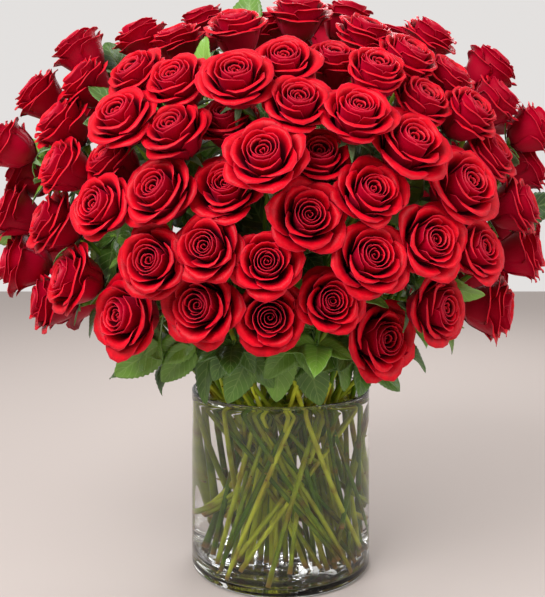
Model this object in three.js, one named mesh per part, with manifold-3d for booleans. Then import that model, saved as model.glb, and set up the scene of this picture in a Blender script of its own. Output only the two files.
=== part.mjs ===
// About a hundred red roses standing in a clear glass cylinder of water, with their leaves.
// Millimetres, +Z up. The origin is the centre of the vase's flat base; the shown front faces -Y.

import * as THREE from 'three';
import { mergeVertices } from 'three/addons/utils/BufferGeometryUtils.js';
import Module from 'manifold-3d';

const wasm = await Module();
wasm.setup();

// Driving dimensions of the holder and of the dome that the heads make
const VASE = {
  radius: 102.5, height: 200, wall: 4, floor: 9, corner: 6, insideCorner: 3, rimCut: 1, sides: 30,
};
const WATER = { top: 196, gap: 0.3, holeBelow: 4 };
const DOME = {
  halfWidth: 272, front: 240, back: 175, middle: 400, above: 203, below: 150, power: 2.5,
};
const HEAD = {
  least: 28.5, most: 33.5, rim: 0.95, bottom: 0.88, contact: 0.9, clearance: 0.6, rounds: 500,
  push: 0.4, pull: 0.02, pullAlong: 0.002, tilt: 0.2, focus: 285, lift: 0.85,
  bindReach: 1.35, bindSlant: 0.6, bunches: 56, bridge: 4.5,
};
const STEM = {
  radius: 2.9, sides: 3, hip: 5.2, gap: 0.35, lean: 2.5, leans: [0.06, 0.14, 0.22, 0.3],
  mouths: 12, above: 14, tries: 400, passing: 5.6, mouthCost: 0.01,
  fork: 0.45, forkApart: 0.1, forkLeast: 0.1, forkStep: 0.06,
};
// Where a stem's foot lies, against its place in the vase's mouth: turned round the axis by the twist,
// give or take half the spread, and further in or out by a share and some millimetres
const FOOT = { twist: 1.8, spread: 1.3, least: 0.7, range: 0.5, aside: 12, fromGlass: 5 };
// Bends that a stem may take past a head: how far aside, how far down, and in how many directions
const BEND = { nearest: 6, farthest: 60, step: 4, shares: [0.12, 0.2, 0.35, 0.5], turns: 16, spare: 0.4 };
const LEAF = {
  length: 54, width: 37, thickness: 0.9, fold: 0.28, droop: 0.22,
  toHead: 1.2, toStem: 3.6, toLeaf: 6, toGlass: 2, overRim: 5,
  widths: [0.85, 0.3], lengths: [0.85, 0.25], tipForward: 6, depth: 6, rootShare: 0.3,
};
// How far a leaf may slide and twist to find room: out from the rim, or inwards from the dome
const SLIDES = {
  out: [0, 4, 8, 12, 16, -4, 20, 24], inStep: 3, inSteps: 30, twists: [0, 0.4, -0.4, 0.8, -0.8],
};
const SEED = 20117;

// The eye that saw the roses: its place, its focal length in pixels, and the pixel it looks at
const EYE = { x: -9.3, y: -940, z: 407, focal: 808, column: 272.5, row: 208 };
// Distances from the eye at which a line of sight is tried for the dome
const SEARCH = { from: 600, to: 1000, step: 2 };

// Heads seen from the front: pixel column and row of the middle, width in pixels, depth behind in mm
const HEADS_SEEN = [
  [207, 30, 46, 50], [238, 36, 48, 0], [270, 35, 44, 55], [297, 22, 50, 0], [345, 26, 46, 30],
  [364, 44, 50, 0], [425, 45, 46, 0], [145, 45, 48, 0], [84, 57, 50, 0], [180, 50, 46, 50],
  [485, 75, 46, 0], [45, 100, 46, 0], [90, 88, 52, 0], [142, 82, 48, 0], [180, 88, 52, 0],
  [237, 87, 62, 0], [286, 70, 55, 0], [333, 70, 48, 0], [375, 82, 46, 0], [405, 68, 46, 0],
  [440, 84, 44, 0], [490, 105, 42, 0], [527, 135, 42, 0], [15, 150, 42, 0], [68, 128, 52, 0],
  [125, 125, 58, 0], [178, 140, 58, 0], [230, 125, 54, 20], [300, 113, 58, 0], [357, 120, 58, 0],
  [415, 105, 48, 0], [462, 122, 46, 0], [405, 147, 66, 0], [70, 170, 46, 0], [32, 178, 46, 0],
  [117, 165, 48, 10], [263, 163, 68, 0], [318, 158, 56, 10], [480, 155, 48, 0], [520, 168, 46, 0],
  [20, 215, 48, 0], [60, 225, 56, 0], [107, 208, 56, 0], [165, 193, 66, 0], [230, 193, 66, 0],
  [368, 197, 62, 0], [457, 190, 68, 0], [510, 208, 54, 0], [30, 265, 56, 0], [305, 222, 66, 0],
  [212, 248, 62, 0], [158, 263, 66, 0], [268, 262, 62, 0], [367, 262, 70, 0], [425, 243, 66, 0],
  [470, 252, 58, 0], [517, 255, 52, 0], [80, 280, 58, 0], [55, 300, 52, 0], [133, 315, 74, 0],
  [208, 305, 72, 0], [270, 315, 66, 0], [327, 302, 62, 0], [375, 338, 70, 0], [430, 308, 60, 0],
  [485, 308, 58, 0],
];

// Leaves of the collar over the rim: pixels of root and tip, and how far in front of the axis they lie
const COLLAR_SEEN = [
  [212, 342, 196, 403, 88], [226, 350, 229, 393, 106], [252, 356, 232, 401, 113],
  [280, 345, 276, 404, 120], [308, 358, 320, 407, 115], [318, 330, 313, 369, 128],
  [335, 348, 352, 389, 108], [362, 362, 404, 386, 80], [196, 345, 156, 378, 74],
  [170, 352, 106, 368, 58], [240, 340, 214, 376, 128], [296, 338, 262, 376, 132],
  [352, 338, 386, 372, 112], [438, 322, 458, 350, 70], [498, 300, 524, 324, 40],
  [104, 308, 84, 334, 60], [150, 332, 122, 372, 104], [398, 345, 430, 366, 60],
];

// Leaves among the heads: pixel of the root, and the angle of the leaf in the picture in degrees
const AMONG_SEEN = [
  [118, 66, 120], [247, 18, 85], [203, 72, 100], [118, 108, 130], [325, 52, 70], [264, 128, 95],
  [412, 122, 60], [498, 152, 30], [532, 208, 10], [50, 160, 150], [112, 252, 250], [118, 262, 300],
  [405, 196, 40], [356, 172, 80], [262, 222, 120], [450, 286, 330], [14, 236, 190],
];

// Heads on the side away from the eye: spots tried, their even steps, how low they start and how high
// they go as shares of the dome's height, and the spacing that is lowered until all are placed
const BEHIND = {
  heads: 31, spots: 500, turnStep: 0.5698403, heightStep: 0.7548777, lowest: -0.66, range: 1.64,
  spacing: 120, closer: 3, sizeStep: 0.37,
};
// Leaves on that side: over the rim with root and tip as radius and height, and among the heads
const COLLAR_BEHIND = {
  leaves: 8, margin: 0.12, stray: 0.3,
  rootOut: [116, 14], rootHigh: [258, 20], tipOut: [134, 26], tipHigh: [206, 18],
};
const AMONG_BEHIND = { leaves: 5, margin: 0.2, out: 246, lowest: 330, range: 190, highStep: 0.618 };

const UP = new THREE.Vector3(0, 0, 1);
const TURN = 2 * Math.PI;

// A repeatable stream of numbers from 0 to 1
let drawn = SEED;
function draw() {
  drawn = (drawn * 16807) % 2147483647;
  return drawn / 2147483647;
}

// ---------------------------------------------------------------- closed meshes and their joining

function closedGeometry(points, triangles) {
  const volume = triangles.reduce((sum, [a, b, c]) => {
    const normal = new THREE.Vector3().crossVectors(points[b], points[c]);
    return sum + points[a].dot(normal);
  }, 0);
  const facing = volume < 0 ? triangles.map(([a, b, c]) => [a, c, b]) : triangles;
  const geometry = new THREE.BufferGeometry();
  geometry.setFromPoints(points);
  geometry.setIndex(facing.flat());
  return geometry;
}

// A skin over rings of points. A ring of one point is a pole; the next ring may have twice the points.
function skin(rings) {
  const starts = rings.map((_, i) => rings.slice(0, i).reduce((sum, ring) => sum + ring.length, 0));
  const triangles = [];
  const quad = (a, b, c, d) => triangles.push([a, b, c], [a, c, d]);
  for (let i = 0; i + 1 < rings.length; i += 1) {
    const [m, n] = [rings[i].length, rings[i + 1].length];
    const lower = (k) => starts[i] + (k % m);
    const upper = (k) => starts[i + 1] + (k % n);
    const steps = m === 1 || n === 1 ? Math.max(m, n) : Math.min(m, n);
    for (let k = 0; k < steps; k += 1) {
      if (m === 1) triangles.push([lower(0), upper(k), upper(k + 1)]);
      else if (n === 1) triangles.push([lower(k), upper(0), lower(k + 1)]);
      else if (m === n) quad(lower(k), upper(k), upper(k + 1), lower(k + 1));
      else if (n === 2 * m) {
        triangles.push([lower(k), upper(2 * k), upper(2 * k + 1)]);
        triangles.push([lower(k), upper(2 * k + 1), lower(k + 1)]);
        triangles.push([lower(k + 1), upper(2 * k + 1), upper(2 * k + 2)]);
      } else {
        triangles.push([upper(k), lower(2 * k + 1), lower(2 * k)]);
        triangles.push([upper(k), upper(k + 1), lower(2 * k + 1)]);
        triangles.push([upper(k + 1), lower(2 * k + 2), lower(2 * k + 1)]);
      }
    }
  }
  const last = rings.length - 1;
  for (let k = 1; k + 1 < rings[0].length; k += 1) triangles.push([0, k, k + 1]);
  for (let k = 1; k + 1 < rings[last].length; k += 1) {
    triangles.push([starts[last], starts[last] + k + 1, starts[last] + k]);
  }
  return closedGeometry(rings.flat(), triangles);
}

function solidOf(geometry) {
  const bare = geometry.clone();
  bare.deleteAttribute('normal');
  bare.deleteAttribute('uv');
  const merged = mergeVertices(bare, 1e-3);
  return new wasm.Manifold(new wasm.Mesh({
    numProp: 3,
    vertProperties: new Float32Array(merged.attributes.position.array),
    triVerts: new Uint32Array(merged.index.array),
  }));
}

function geometryOf(solid) {
  const mesh = solid.getMesh();
  const geometry = new THREE.BufferGeometry();
  geometry.setAttribute('position', new THREE.BufferAttribute(mesh.vertProperties, 3));
  geometry.setIndex(new THREE.BufferAttribute(mesh.triVerts, 1));
  return geometry;
}

function joined(geometries) {
  return wasm.Manifold.union(geometries.map(solidOf));
}

// ---------------------------------------------------------------- where the heads are

function sightLine(column, row) {
  return new THREE.Vector3((column - EYE.column) / EYE.focal, 1, (EYE.row - row) / EYE.focal);
}

function seenAt(column, row, distance) {
  return sightLine(column, row).multiplyScalar(distance).add(new THREE.Vector3(EYE.x, EYE.y, EYE.z));
}

// Below 1 inside the dome, 1 on it and more outside
function domeLevel(point) {
  const high = point.z - DOME.middle;
  const halfDepth = point.y < 0 ? DOME.front : DOME.back;
  const across = Math.hypot(point.x / DOME.halfWidth, point.y / halfDepth);
  return across ** DOME.power + Math.abs(high / (high > 0 ? DOME.above : DOME.below)) ** DOME.power;
}

// Distance along a line of sight to the dome's front, or to where the line passes nearest to it
function domeDistance(column, row) {
  let best = 0;
  let bestLevel = Infinity;
  for (let distance = SEARCH.from; distance < SEARCH.to; distance += SEARCH.step) {
    const level = domeLevel(seenAt(column, row, distance));
    if (level < 1) return distance;
    if (level < bestLevel) {
      bestLevel = level;
      best = distance;
    }
  }
  return best;
}

function headsInFront() {
  return HEADS_SEEN.map(([column, row, width, behind]) => {
    const home = domeDistance(column, row) + behind;
    const radius = (width * home) / EYE.focal / 2 / HEAD.rim;
    return {
      place: seenAt(column, row, home),
      line: sightLine(column, row).normalize(),
      home: seenAt(column, row, home),
      radius: THREE.MathUtils.clamp(radius, HEAD.least, HEAD.most),
    };
  });
}

// Heads on the side away from the eye: each spot that has room is filled, the roomiest first
function headsBehind(front) {
  const heads = [];
  const spots = Array.from({ length: BEHIND.spots }, (_, i) => {
    const turn = Math.PI * ((i * BEHIND.turnStep) % 1);
    const height = BEHIND.lowest + BEHIND.range * ((i * BEHIND.heightStep) % 1);
    const out = (1 - Math.abs(height) ** DOME.power) ** (1 / DOME.power);
    return new THREE.Vector3(
      DOME.halfWidth * out * Math.cos(turn),
      DOME.back * out * Math.sin(turn),
      DOME.middle + height * (height > 0 ? DOME.above : DOME.below),
    );
  });
  for (let { spacing } = BEHIND; heads.length < BEHIND.heads; spacing -= BEHIND.closer) {
    for (const place of spots) {
      const room = [...front, ...heads].every((head) => head.place.distanceTo(place) > spacing);
      if (room && heads.length < BEHIND.heads) {
        const radius = HEAD.least + (HEAD.most - HEAD.least) * ((heads.length * BEHIND.sizeStep) % 1);
        heads.push({ place: place.clone(), home: place, line: null, radius });
      }
    }
  }
  return heads;
}

// The heads push each other apart, and each is drawn back to where it was seen
function spread(heads) {
  for (let round = 0; round < HEAD.rounds; round += 1) {
    const moves = heads.map(() => new THREE.Vector3());
    heads.forEach((a, i) => heads.forEach((b, j) => {
      if (j <= i) return;
      const apart = b.place.clone().sub(a.place);
      const distance = apart.length();
      const wanted = HEAD.contact * (a.radius + b.radius) + HEAD.clearance;
      if (distance < wanted) {
        apart.multiplyScalar((HEAD.push * (wanted - distance)) / distance);
        moves[i].sub(apart);
        moves[j].add(apart);
      }
    }));
    heads.forEach((head, i) => {
      head.place.add(moves[i]);
      const off = head.place.clone().sub(head.home);
      const along = head.line ? off.dot(head.line) : 0;
      if (head.line) off.addScaledVector(head.line, -along);
      head.place.addScaledVector(off, -HEAD.pull);
      if (head.line) head.place.addScaledVector(head.line, -HEAD.pullAlong * along);
    });
  }
}

// Heads shrink until they are clear of each other
function fit(heads) {
  const shares = heads.map((a) => heads.reduce((least, b) => {
    const room = a.place.distanceTo(b.place) - HEAD.clearance;
    return a === b ? least : Math.min(least, room / (a.radius + b.radius) / HEAD.contact);
  }, 1));
  heads.forEach((head, i) => {
    head.radius *= shares[i];
  });
}

// Heads side by side hold together by a petal: first the nearest ones in twos, and then the heads left
// over join the two nearest to them, until there are few enough bunches
function bindBunches(heads) {
  const near = heads.flatMap((a, i) => heads.slice(i + 1).map((b) => {
    const apart = b.place.clone().sub(a.place);
    const distance = apart.length();
    const slant = Math.max(Math.abs(apart.dot(a.axis)), Math.abs(apart.dot(b.axis))) / distance;
    return { a, b, slant, reach: distance / (a.radius + b.radius) };
  })).filter(({ reach, slant }) => reach < HEAD.bindReach && slant < HEAD.bindSlant)
    .sort((p, q) => p.reach - q.reach);
  let bunches = heads.length;
  const bind = (a, b) => {
    a.mates.push(b);
    b.mates.push(a);
    bunches -= 1;
  };
  for (const { a, b } of near) {
    if (!a.mates.length && !b.mates.length) bind(a, b);
  }
  for (const { a, b } of near) {
    const [lone, other] = a.mates.length ? [b, a] : [a, b];
    const free = !lone.mates.length && other.mates.length === 1 && other.mates[0].mates.length === 1;
    if (free && bunches > HEAD.bunches) bind(lone, other);
  }
}

function placeHeads() {
  const front = headsInFront();
  const heads = [...front, ...headsBehind(front)];
  spread(heads);
  fit(heads);
  heads.forEach((head, i) => {
    const tilt = new THREE.Vector3(draw() - 0.5, draw() - 0.5, draw() - 0.5).multiplyScalar(HEAD.tilt);
    const outward = head.place.clone().sub(new THREE.Vector3(0, 0, HEAD.focus));
    outward.z *= HEAD.lift;
    head.axis = outward.normalize().add(tilt).normalize();
    head.spin = TURN * draw();
    head.index = i;
    head.mates = [];
  });
  bindBunches(heads);
  return heads;
}

// The heads bound together with this one: the most bound first, which carries the others
function bunchOf(head) {
  const bunch = [head];
  for (const member of bunch) {
    bunch.push(...member.mates.filter((mate) => !bunch.includes(mate)));
  }
  return bunch.sort((a, b) => b.mates.length - a.mates.length || a.index - b.index);
}

// ---------------------------------------------------------------- one rose's petals

// Rings from the calyx up over the petal rims and down into the heart: for each, its radius and height
// at the middle of a petal and between two petals, in head radii, and whether the layer is turned
// by half a petal. Rings without a second pair are plain and have one point for each petal.
const LAYERS = [
  { at: [[0, -HEAD.bottom]] },
  { at: [[0.46, -0.66]] },
  { at: [[0.96, 0.19], [0.76, 0.1]] },
  { at: [[0.62, 0.08], [0.6, 0.2]] },
  { at: [[0.48, 0.42], [0.62, 0.54]] },
  { at: [[0.2, 0.68]] },
  { at: [[0, 0.4]] },
];
const PETALS = 5;
// No two petals reach out quite alike: by up to a share, stepped from head to head and petal to petal
const UNEVEN = { share: 0.05, headStep: 0.7, petalStep: 0.618 };

function headFrame(head) {
  const side = new THREE.Vector3();
  if (head.mates.length) side.subVectors(head.mates[0].place, head.place);
  else side.set(Math.cos(head.spin), Math.sin(head.spin), 0.3);
  side.addScaledVector(head.axis, -side.dot(head.axis)).normalize();
  return { side, other: new THREE.Vector3().crossVectors(head.axis, side) };
}

function headGeometry(head) {
  const { side, other } = headFrame(head);
  const uneven = Array.from({ length: 2 * PETALS }, (_, k) => (
    1 - UNEVEN.share * ((head.index * UNEVEN.headStep + k * UNEVEN.petalStep) % 1)
  ));
  const rings = LAYERS.map(({ at }, level) => {
    const count = at.length * (at[0][0] ? PETALS : 1);
    return Array.from({ length: count }, (_, k) => {
      const [out, high] = at[k % at.length];
      const turn = (TURN * k) / Math.max(count, 1);
      const reach = out * head.radius * (level > 1 ? uneven[(k + level) % uneven.length] : 1);
      return head.place.clone()
        .addScaledVector(side, reach * Math.cos(turn))
        .addScaledVector(other, reach * Math.sin(turn))
        .addScaledVector(head.axis, high * head.radius);
    });
  });
  // Towards a head bound to this one, a petal of the rim reaches past the middle between the two
  const rim = rings[2];
  head.mates.forEach((mate, order) => {
    const between = mate.place.clone().sub(head.place);
    const turn = Math.atan2(between.dot(other), between.dot(side)) / TURN + 1;
    const tip = order ? 2 * (Math.round(turn * PETALS) % PETALS || 1) : 0;
    const reach = 0.5 + HEAD.bridge / between.length();
    rim[tip] = head.place.clone().addScaledVector(between, reach);
  });
  return skin(rings);
}

// ---------------------------------------------------------------- stems

// Shortest distance between two segments, and how far along the second one it is
function segmentGap(a, b, c, d) {
  const ab = b.clone().sub(a);
  const cd = d.clone().sub(c);
  const ca = a.clone().sub(c);
  const [p, q, r] = [ab.lengthSq(), ab.dot(cd), cd.lengthSq()];
  const clamp = (value) => THREE.MathUtils.clamp(value, 0, 1);
  const crossing = p * r - q * q;
  let s = crossing > 1e-9 ? clamp((q * cd.dot(ca) - r * ab.dot(ca)) / crossing) : 0;
  const t = clamp((cd.dot(ca) + s * q) / r);
  s = clamp((t * q - ab.dot(ca)) / p);
  return a.clone().addScaledVector(ab, s).distanceTo(c.clone().addScaledVector(cd, t));
}

// Where a stem ends under its head
function stemTop(head) {
  return head.place.clone().addScaledVector(head.axis, -HEAD.bottom * head.radius - STEM.gap);
}

function pointGap(point, [a, b]) {
  const along = b.clone().sub(a);
  const share = THREE.MathUtils.clamp(point.clone().sub(a).dot(along) / along.lengthSq(), 0, 1);
  return point.distanceTo(a.clone().addScaledVector(along, share));
}

// How much room a straight stretch of stem leaves beside every head but its own, and beside the petals
// that hold heads together
function roomBeside(a, b, own, heads) {
  let room = Infinity;
  for (const { place, radius, mates } of heads) {
    if (place !== own.place) room = Math.min(room, pointGap(place, [a, b]) - radius);
    for (const mate of mates) {
      const middle = mate.place.clone().lerp(place, 0.5);
      room = Math.min(room, pointGap(middle, [a, b]) - 2 * HEAD.bridge);
    }
  }
  return room - STEM.radius - BEND.spare;
}

// The way from under a head to a point lower down: straight, or with one bend past the other heads
function wayDown(head, end, heads) {
  const top = stemTop(head);
  let best = { room: roomBeside(top, end, head, heads), way: [top] };
  const along = end.clone().sub(top).normalize();
  const side = new THREE.Vector3().crossVectors(along, UP).normalize();
  for (let aside = BEND.nearest; aside < BEND.farthest && best.room < 0; aside += BEND.step) {
    for (const share of BEND.shares) {
      for (let k = 0; k < BEND.turns; k += 1) {
        const out = side.clone().applyAxisAngle(along, (TURN * k) / BEND.turns);
        const knee = top.clone().lerp(end, share).addScaledVector(out, aside);
        const room = Math.min(roomBeside(top, knee, head, heads), roomBeside(knee, end, head, heads));
        if (room > best.room) best = { room, way: [top, knee] };
      }
    }
  }
  return best;
}

// How many stretches of earlier stems a stem would run into
function stemCost([top, mouth, foot], grown) {
  const near = (a, b, c, d) => (segmentGap(a, b, c, d) < STEM.passing ? 1 : 0);
  return grown.reduce((cost, { path: [otherTop, otherMouth, otherFoot] }) => (
    cost + near(top, mouth, otherTop, otherMouth) + near(top, mouth, otherMouth, otherFoot)
      + near(mouth, foot, otherTop, otherMouth) + near(mouth, foot, otherMouth, otherFoot)
  ), 0);
}

// A point beside an earlier stem, sunk a little into it, where a stem on its way to a head can lean
function leanOn({ path, way }, share, head) {
  const point = path[1].clone().lerp(way.at(-1), share);
  const along = way.at(-1).clone().sub(path[1]);
  const beside = new THREE.Vector3().crossVectors(along, head.place.clone().sub(point)).normalize();
  return point.addScaledVector(beside, STEM.lean);
}

// A stem leans on an earlier one in the vase's mouth. On the way down every second one turns left round
// the axis and the others turn right, so they cross; the foot is drawn where it runs into fewest.
function growStems(heads) {
  const order = heads.filter((head) => bunchOf(head)[0] === head)
    .sort((a, b) => Math.hypot(a.place.x, a.place.y) - Math.hypot(b.place.x, b.place.y));
  const inside = VASE.radius - VASE.wall - FOOT.fromGlass;
  const grown = [];
  for (const head of order) {
    const turn = Math.atan2(head.place.y, head.place.x);
    const out = Math.min(Math.hypot(head.place.x, head.place.y) / DOME.halfWidth, 1);
    const wished = new THREE.Vector3(Math.cos(turn), Math.sin(turn), 0).multiplyScalar(inside * out);
    wished.z = VASE.height + STEM.above;
    const leaning = grown
      .flatMap((stem) => STEM.leans.map((share) => leanOn(stem, share, head)))
      .filter((point) => Math.hypot(point.x, point.y) < inside)
      .sort((a, b) => a.distanceTo(wished) - b.distanceTo(wished))
      .slice(0, STEM.mouths);
    const mouths = leaning.length ? leaning : [wished];
    const hand = grown.length % 2 ? -1 : 1;
    let best = null;
    for (let i = 0; i < STEM.tries; i += 1) {
      const mouth = mouths[i % mouths.length];
      const twist = hand * (FOOT.twist + FOOT.spread * (draw() - 0.5));
      const footTurn = Math.atan2(mouth.y, mouth.x) + twist;
      const share = FOOT.least + FOOT.range * draw();
      const wide = Math.hypot(mouth.x, mouth.y) * share + FOOT.aside * draw();
      const footOut = Math.min(inside - STEM.radius, wide);
      const foot = new THREE.Vector3(footOut * Math.cos(footTurn), footOut * Math.sin(footTurn), 0);
      foot.z = VASE.floor + STEM.gap;
      const path = [stemTop(head), mouth, foot];
      const cost = stemCost(path, grown) + STEM.mouthCost * mouth.distanceTo(wished);
      if (!best || cost < best.cost) best = { cost, path, head };
    }
    best.way = wayDown(head, best.path[1], heads).way;
    grown.push(best);
  }
  return grown;
}

// The stem of a bunch's other head runs together with the first one's, some way below the heads
function sideStem({ head, path, way }, other, heads) {
  const order = bunchOf(head).indexOf(other);
  let best = { room: -Infinity };
  const highest = STEM.fork + STEM.forkApart * (order - 1);
  for (let share = highest; share > STEM.forkLeast && best.room < 0; share -= STEM.forkStep) {
    const meeting = path[1].clone().lerp(way.at(-1), share);
    const down = wayDown(other, meeting, heads);
    if (down.room > best.room) best = { room: down.room, way: [...down.way, meeting] };
  }
  return best.way;
}

// Rings of a rod with straight stretches between its points: at each bend the section is carried on
// along its stretch to the plane halfway between the two, and at the foot to a level cut
function rodRings(points, radius, sides) {
  const heading = points.slice(1).map((point, i) => point.clone().sub(points[i]).normalize());
  const side = new THREE.Vector3().crossVectors(heading[0], new THREE.Vector3(0.3, 1, 0.2)).normalize();
  const other = new THREE.Vector3().crossVectors(heading[0], side);
  let ring = Array.from({ length: sides }, (_, k) => points[0].clone()
    .addScaledVector(side, radius * Math.cos((TURN * k) / sides))
    .addScaledVector(other, radius * Math.sin((TURN * k) / sides)));
  const rings = [ring];
  for (let i = 1; i < points.length; i += 1) {
    const along = heading[i - 1];
    const plane = i < heading.length ? along.clone().add(heading[i]) : UP;
    ring = ring.map((corner) => {
      const step = points[i].clone().sub(corner).dot(plane) / along.dot(plane);
      return corner.clone().addScaledVector(along, step);
    });
    rings.push(ring);
  }
  return rings;
}

// A stem widens to the hip under its head, and is level there with the head's underside
function stemGeometry({ head, way }) {
  const rings = rodRings(way, STEM.radius, STEM.sides);
  const [top, next] = way;
  const along = next.clone().sub(top).normalize();
  rings[0] = rings[0].map((corner) => {
    const wide = top.clone().lerp(corner, STEM.hip / STEM.radius);
    return wide.addScaledVector(along, top.clone().sub(wide).dot(head.axis) / along.dot(head.axis));
  });
  return skin(rings);
}

// ---------------------------------------------------------------- leaves

// A leaf folded along its rib: stations from base to tip with their half width as a share of the width
const STATIONS = [[0.02, 0.06], [0.34, 0.5], [0.7, 0.38]];
// A leaf's stalk: half its width, how far it is sunk past a stem's middle, and how long and bent it may be
const STALK = {
  half: 1.1, sunk: 2.6, shortest: 8, longest: 80, straight: 0.3, flat: 0.75, step: 0.04, last: 0.93,
  toHead: 2, bendPrice: 0.6,
};

function leafPoints({ root, along, up, length, width, hold }) {
  const across = new THREE.Vector3().crossVectors(along, up).normalize();
  const face = new THREE.Vector3().crossVectors(across, along).normalize();
  const at = (share, half) => root.clone()
    .addScaledVector(along, share * length)
    .addScaledVector(across, half * width)
    .addScaledVector(face, Math.abs(half) * width * LEAF.fold - LEAF.droop * length * share * share);
  const rows = [...STATIONS.map(([s, w]) => [at(s, -w), at(s, 0), at(s, w)]), [at(1, 0)]];
  if (hold) {
    const end = hold.clone().addScaledVector(hold.clone().sub(root).normalize(), STALK.sunk);
    rows.unshift([-STALK.half, 0, STALK.half].map((aside) => end.clone().addScaledVector(across, aside)));
  }
  return { rows, face };
}

function leafGeometry(leaf) {
  const { rows, face } = leafPoints(leaf);
  const upper = rows.flat();
  const lower = upper.map((point) => point.clone().addScaledVector(face, -LEAF.thickness));
  const count = upper.length;
  const faces = [];
  for (let row = 0; row < STATIONS.length; row += 1) {
    const a = 3 * row;
    faces.push([a, a + 3, a + 1], [a + 1, a + 3, a + 4], [a + 1, a + 4, a + 5], [a + 1, a + 5, a + 2]);
  }
  const end = count - 1;
  faces.push([end - 3, end, end - 2], [end - 2, end, end - 1]);
  const border = [0, 3, 6, 9, end, 11, 8, 5, 2, 1];
  const triangles = [...faces, ...faces.map(([a, b, c]) => [a + count, c + count, b + count])];
  border.forEach((a, i) => {
    const b = border[(i + 1) % border.length];
    triangles.push([a, b + count, b], [a, a + count, b + count]);
  });
  return closedGeometry([...upper, ...lower], triangles);
}

// Points spread over the blade and its stalk, to feel what they would touch
function feelers(leaf) {
  const { rows } = leafPoints(leaf);
  const middle = (a, b) => a.clone().lerp(b, 0.5);
  const wide = rows.map(([a, b, c]) => (b ? [a, middle(a, b), b, middle(b, c), c] : Array(5).fill(a)));
  const between = wide.slice(1).flatMap((row, i) => row.map((point, k) => middle(wide[i][k], point)));
  return [...wide.flat(), ...between];
}

// How far the blade is too near to heads, to stems, to earlier leaves and to the glass; 0 when clear
function crowding(blade, { heads, stretches, leaves }) {
  let worst = 0;
  for (const point of feelers(blade)) {
    for (const { place, radius } of heads) {
      worst = Math.max(worst, radius + LEAF.toHead - point.distanceTo(place));
    }
    for (const mark of leaves.flatMap((leaf) => leaf.marks)) {
      worst = Math.max(worst, LEAF.toLeaf - point.distanceTo(mark));
    }
    for (const stretch of stretches) worst = Math.max(worst, LEAF.toStem - pointGap(point, stretch));
    const inward = VASE.radius + LEAF.toGlass - Math.hypot(point.x, point.y);
    if (point.z < VASE.height + LEAF.overRim) worst = Math.max(worst, inward);
  }
  return worst;
}

// A leaf slides along a direction, and twists a little, until it is clear of everything; or it is left out
function settle(leaf, slideWay, slides, around) {
  for (const slide of slides) {
    for (const twist of SLIDES.twists) {
      const moved = { ...leaf, root: leaf.root.clone().addScaledVector(slideWay, slide) };
      moved.up = leaf.up.clone().applyAxisAngle(leaf.along, twist);
      if (crowding(moved, around) === 0 && holdLeaf(moved, around)) {
        moved.marks = feelers({ ...moved, hold: null });
        around.leaves.push(moved);
        return;
      }
    }
  }
}

// The leaf's stalk runs back to a stem, over the rim and past the heads, without a sharp bend
function holdLeaf(leaf, { heads, stretches }) {
  let least = STALK.longest;
  const overRim = VASE.height + LEAF.overRim;
  const { face } = leafPoints(leaf);
  for (const [high, low] of stretches) {
    for (let share = STALK.step; share < STALK.last; share += STALK.step) {
      const hold = low.clone().lerp(high, share);
      const way = hold.clone().sub(leaf.root);
      const length = way.length();
      way.normalize();
      const straight = -way.dot(leaf.along);
      const cost = length * (1 + STALK.bendPrice * (1 - straight));
      const bent = straight < STALK.straight || Math.abs(way.dot(face)) > STALK.flat;
      const sunken = Math.min(hold.z, leaf.root.clone().lerp(hold, 0.5).z) < overRim;
      if (cost < least && length > STALK.shortest && !bent && !sunken) {
        const free = heads.every(({ place, axis, radius }) => (
          segmentGap(leaf.root, hold, place, place.clone().add(axis)) > radius + STALK.toHead
        ));
        if (free) {
          least = cost;
          leaf.hold = hold;
        }
      }
    }
  }
  return Boolean(leaf.hold);
}

function leafFrom(root, tip, up, width) {
  const along = tip.clone().sub(root);
  const length = along.length();
  return { root, along: along.normalize(), up, length, width };
}

// Leaves that hang over the rim all round: those seen in front, and more like them behind
function growCollar(around) {
  const between = ([least, range]) => least + range * draw();
  const widthOf = () => LEAF.width * between(LEAF.widths);
  for (const [x0, y0, x1, y1, front] of COLLAR_SEEN) {
    const root = seenAt(x0, y0, -EYE.y - front);
    const tip = seenAt(x1, y1, -EYE.y - front - LEAF.tipForward);
    const outward = new THREE.Vector3(root.x, root.y, 0).normalize();
    const leaf = leafFrom(root, tip, outward.clone().setZ(0.5), widthOf());
    settle(leaf, outward, SLIDES.out, around);
  }
  for (let i = 0; i < COLLAR_BEHIND.leaves; i += 1) {
    const { margin, stray, rootOut, rootHigh, tipOut, tipHigh } = COLLAR_BEHIND;
    const turn = margin + ((Math.PI - 2 * margin) * (i + stray * draw())) / COLLAR_BEHIND.leaves;
    const outward = new THREE.Vector3(Math.cos(turn), Math.sin(turn), 0);
    const root = outward.clone().multiplyScalar(between(rootOut)).setZ(between(rootHigh));
    const tip = outward.clone().multiplyScalar(between(tipOut)).setZ(between(tipHigh));
    const leaf = leafFrom(root, tip, outward.clone().setZ(0.5), widthOf());
    settle(leaf, outward, SLIDES.out, around);
  }
}

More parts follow.
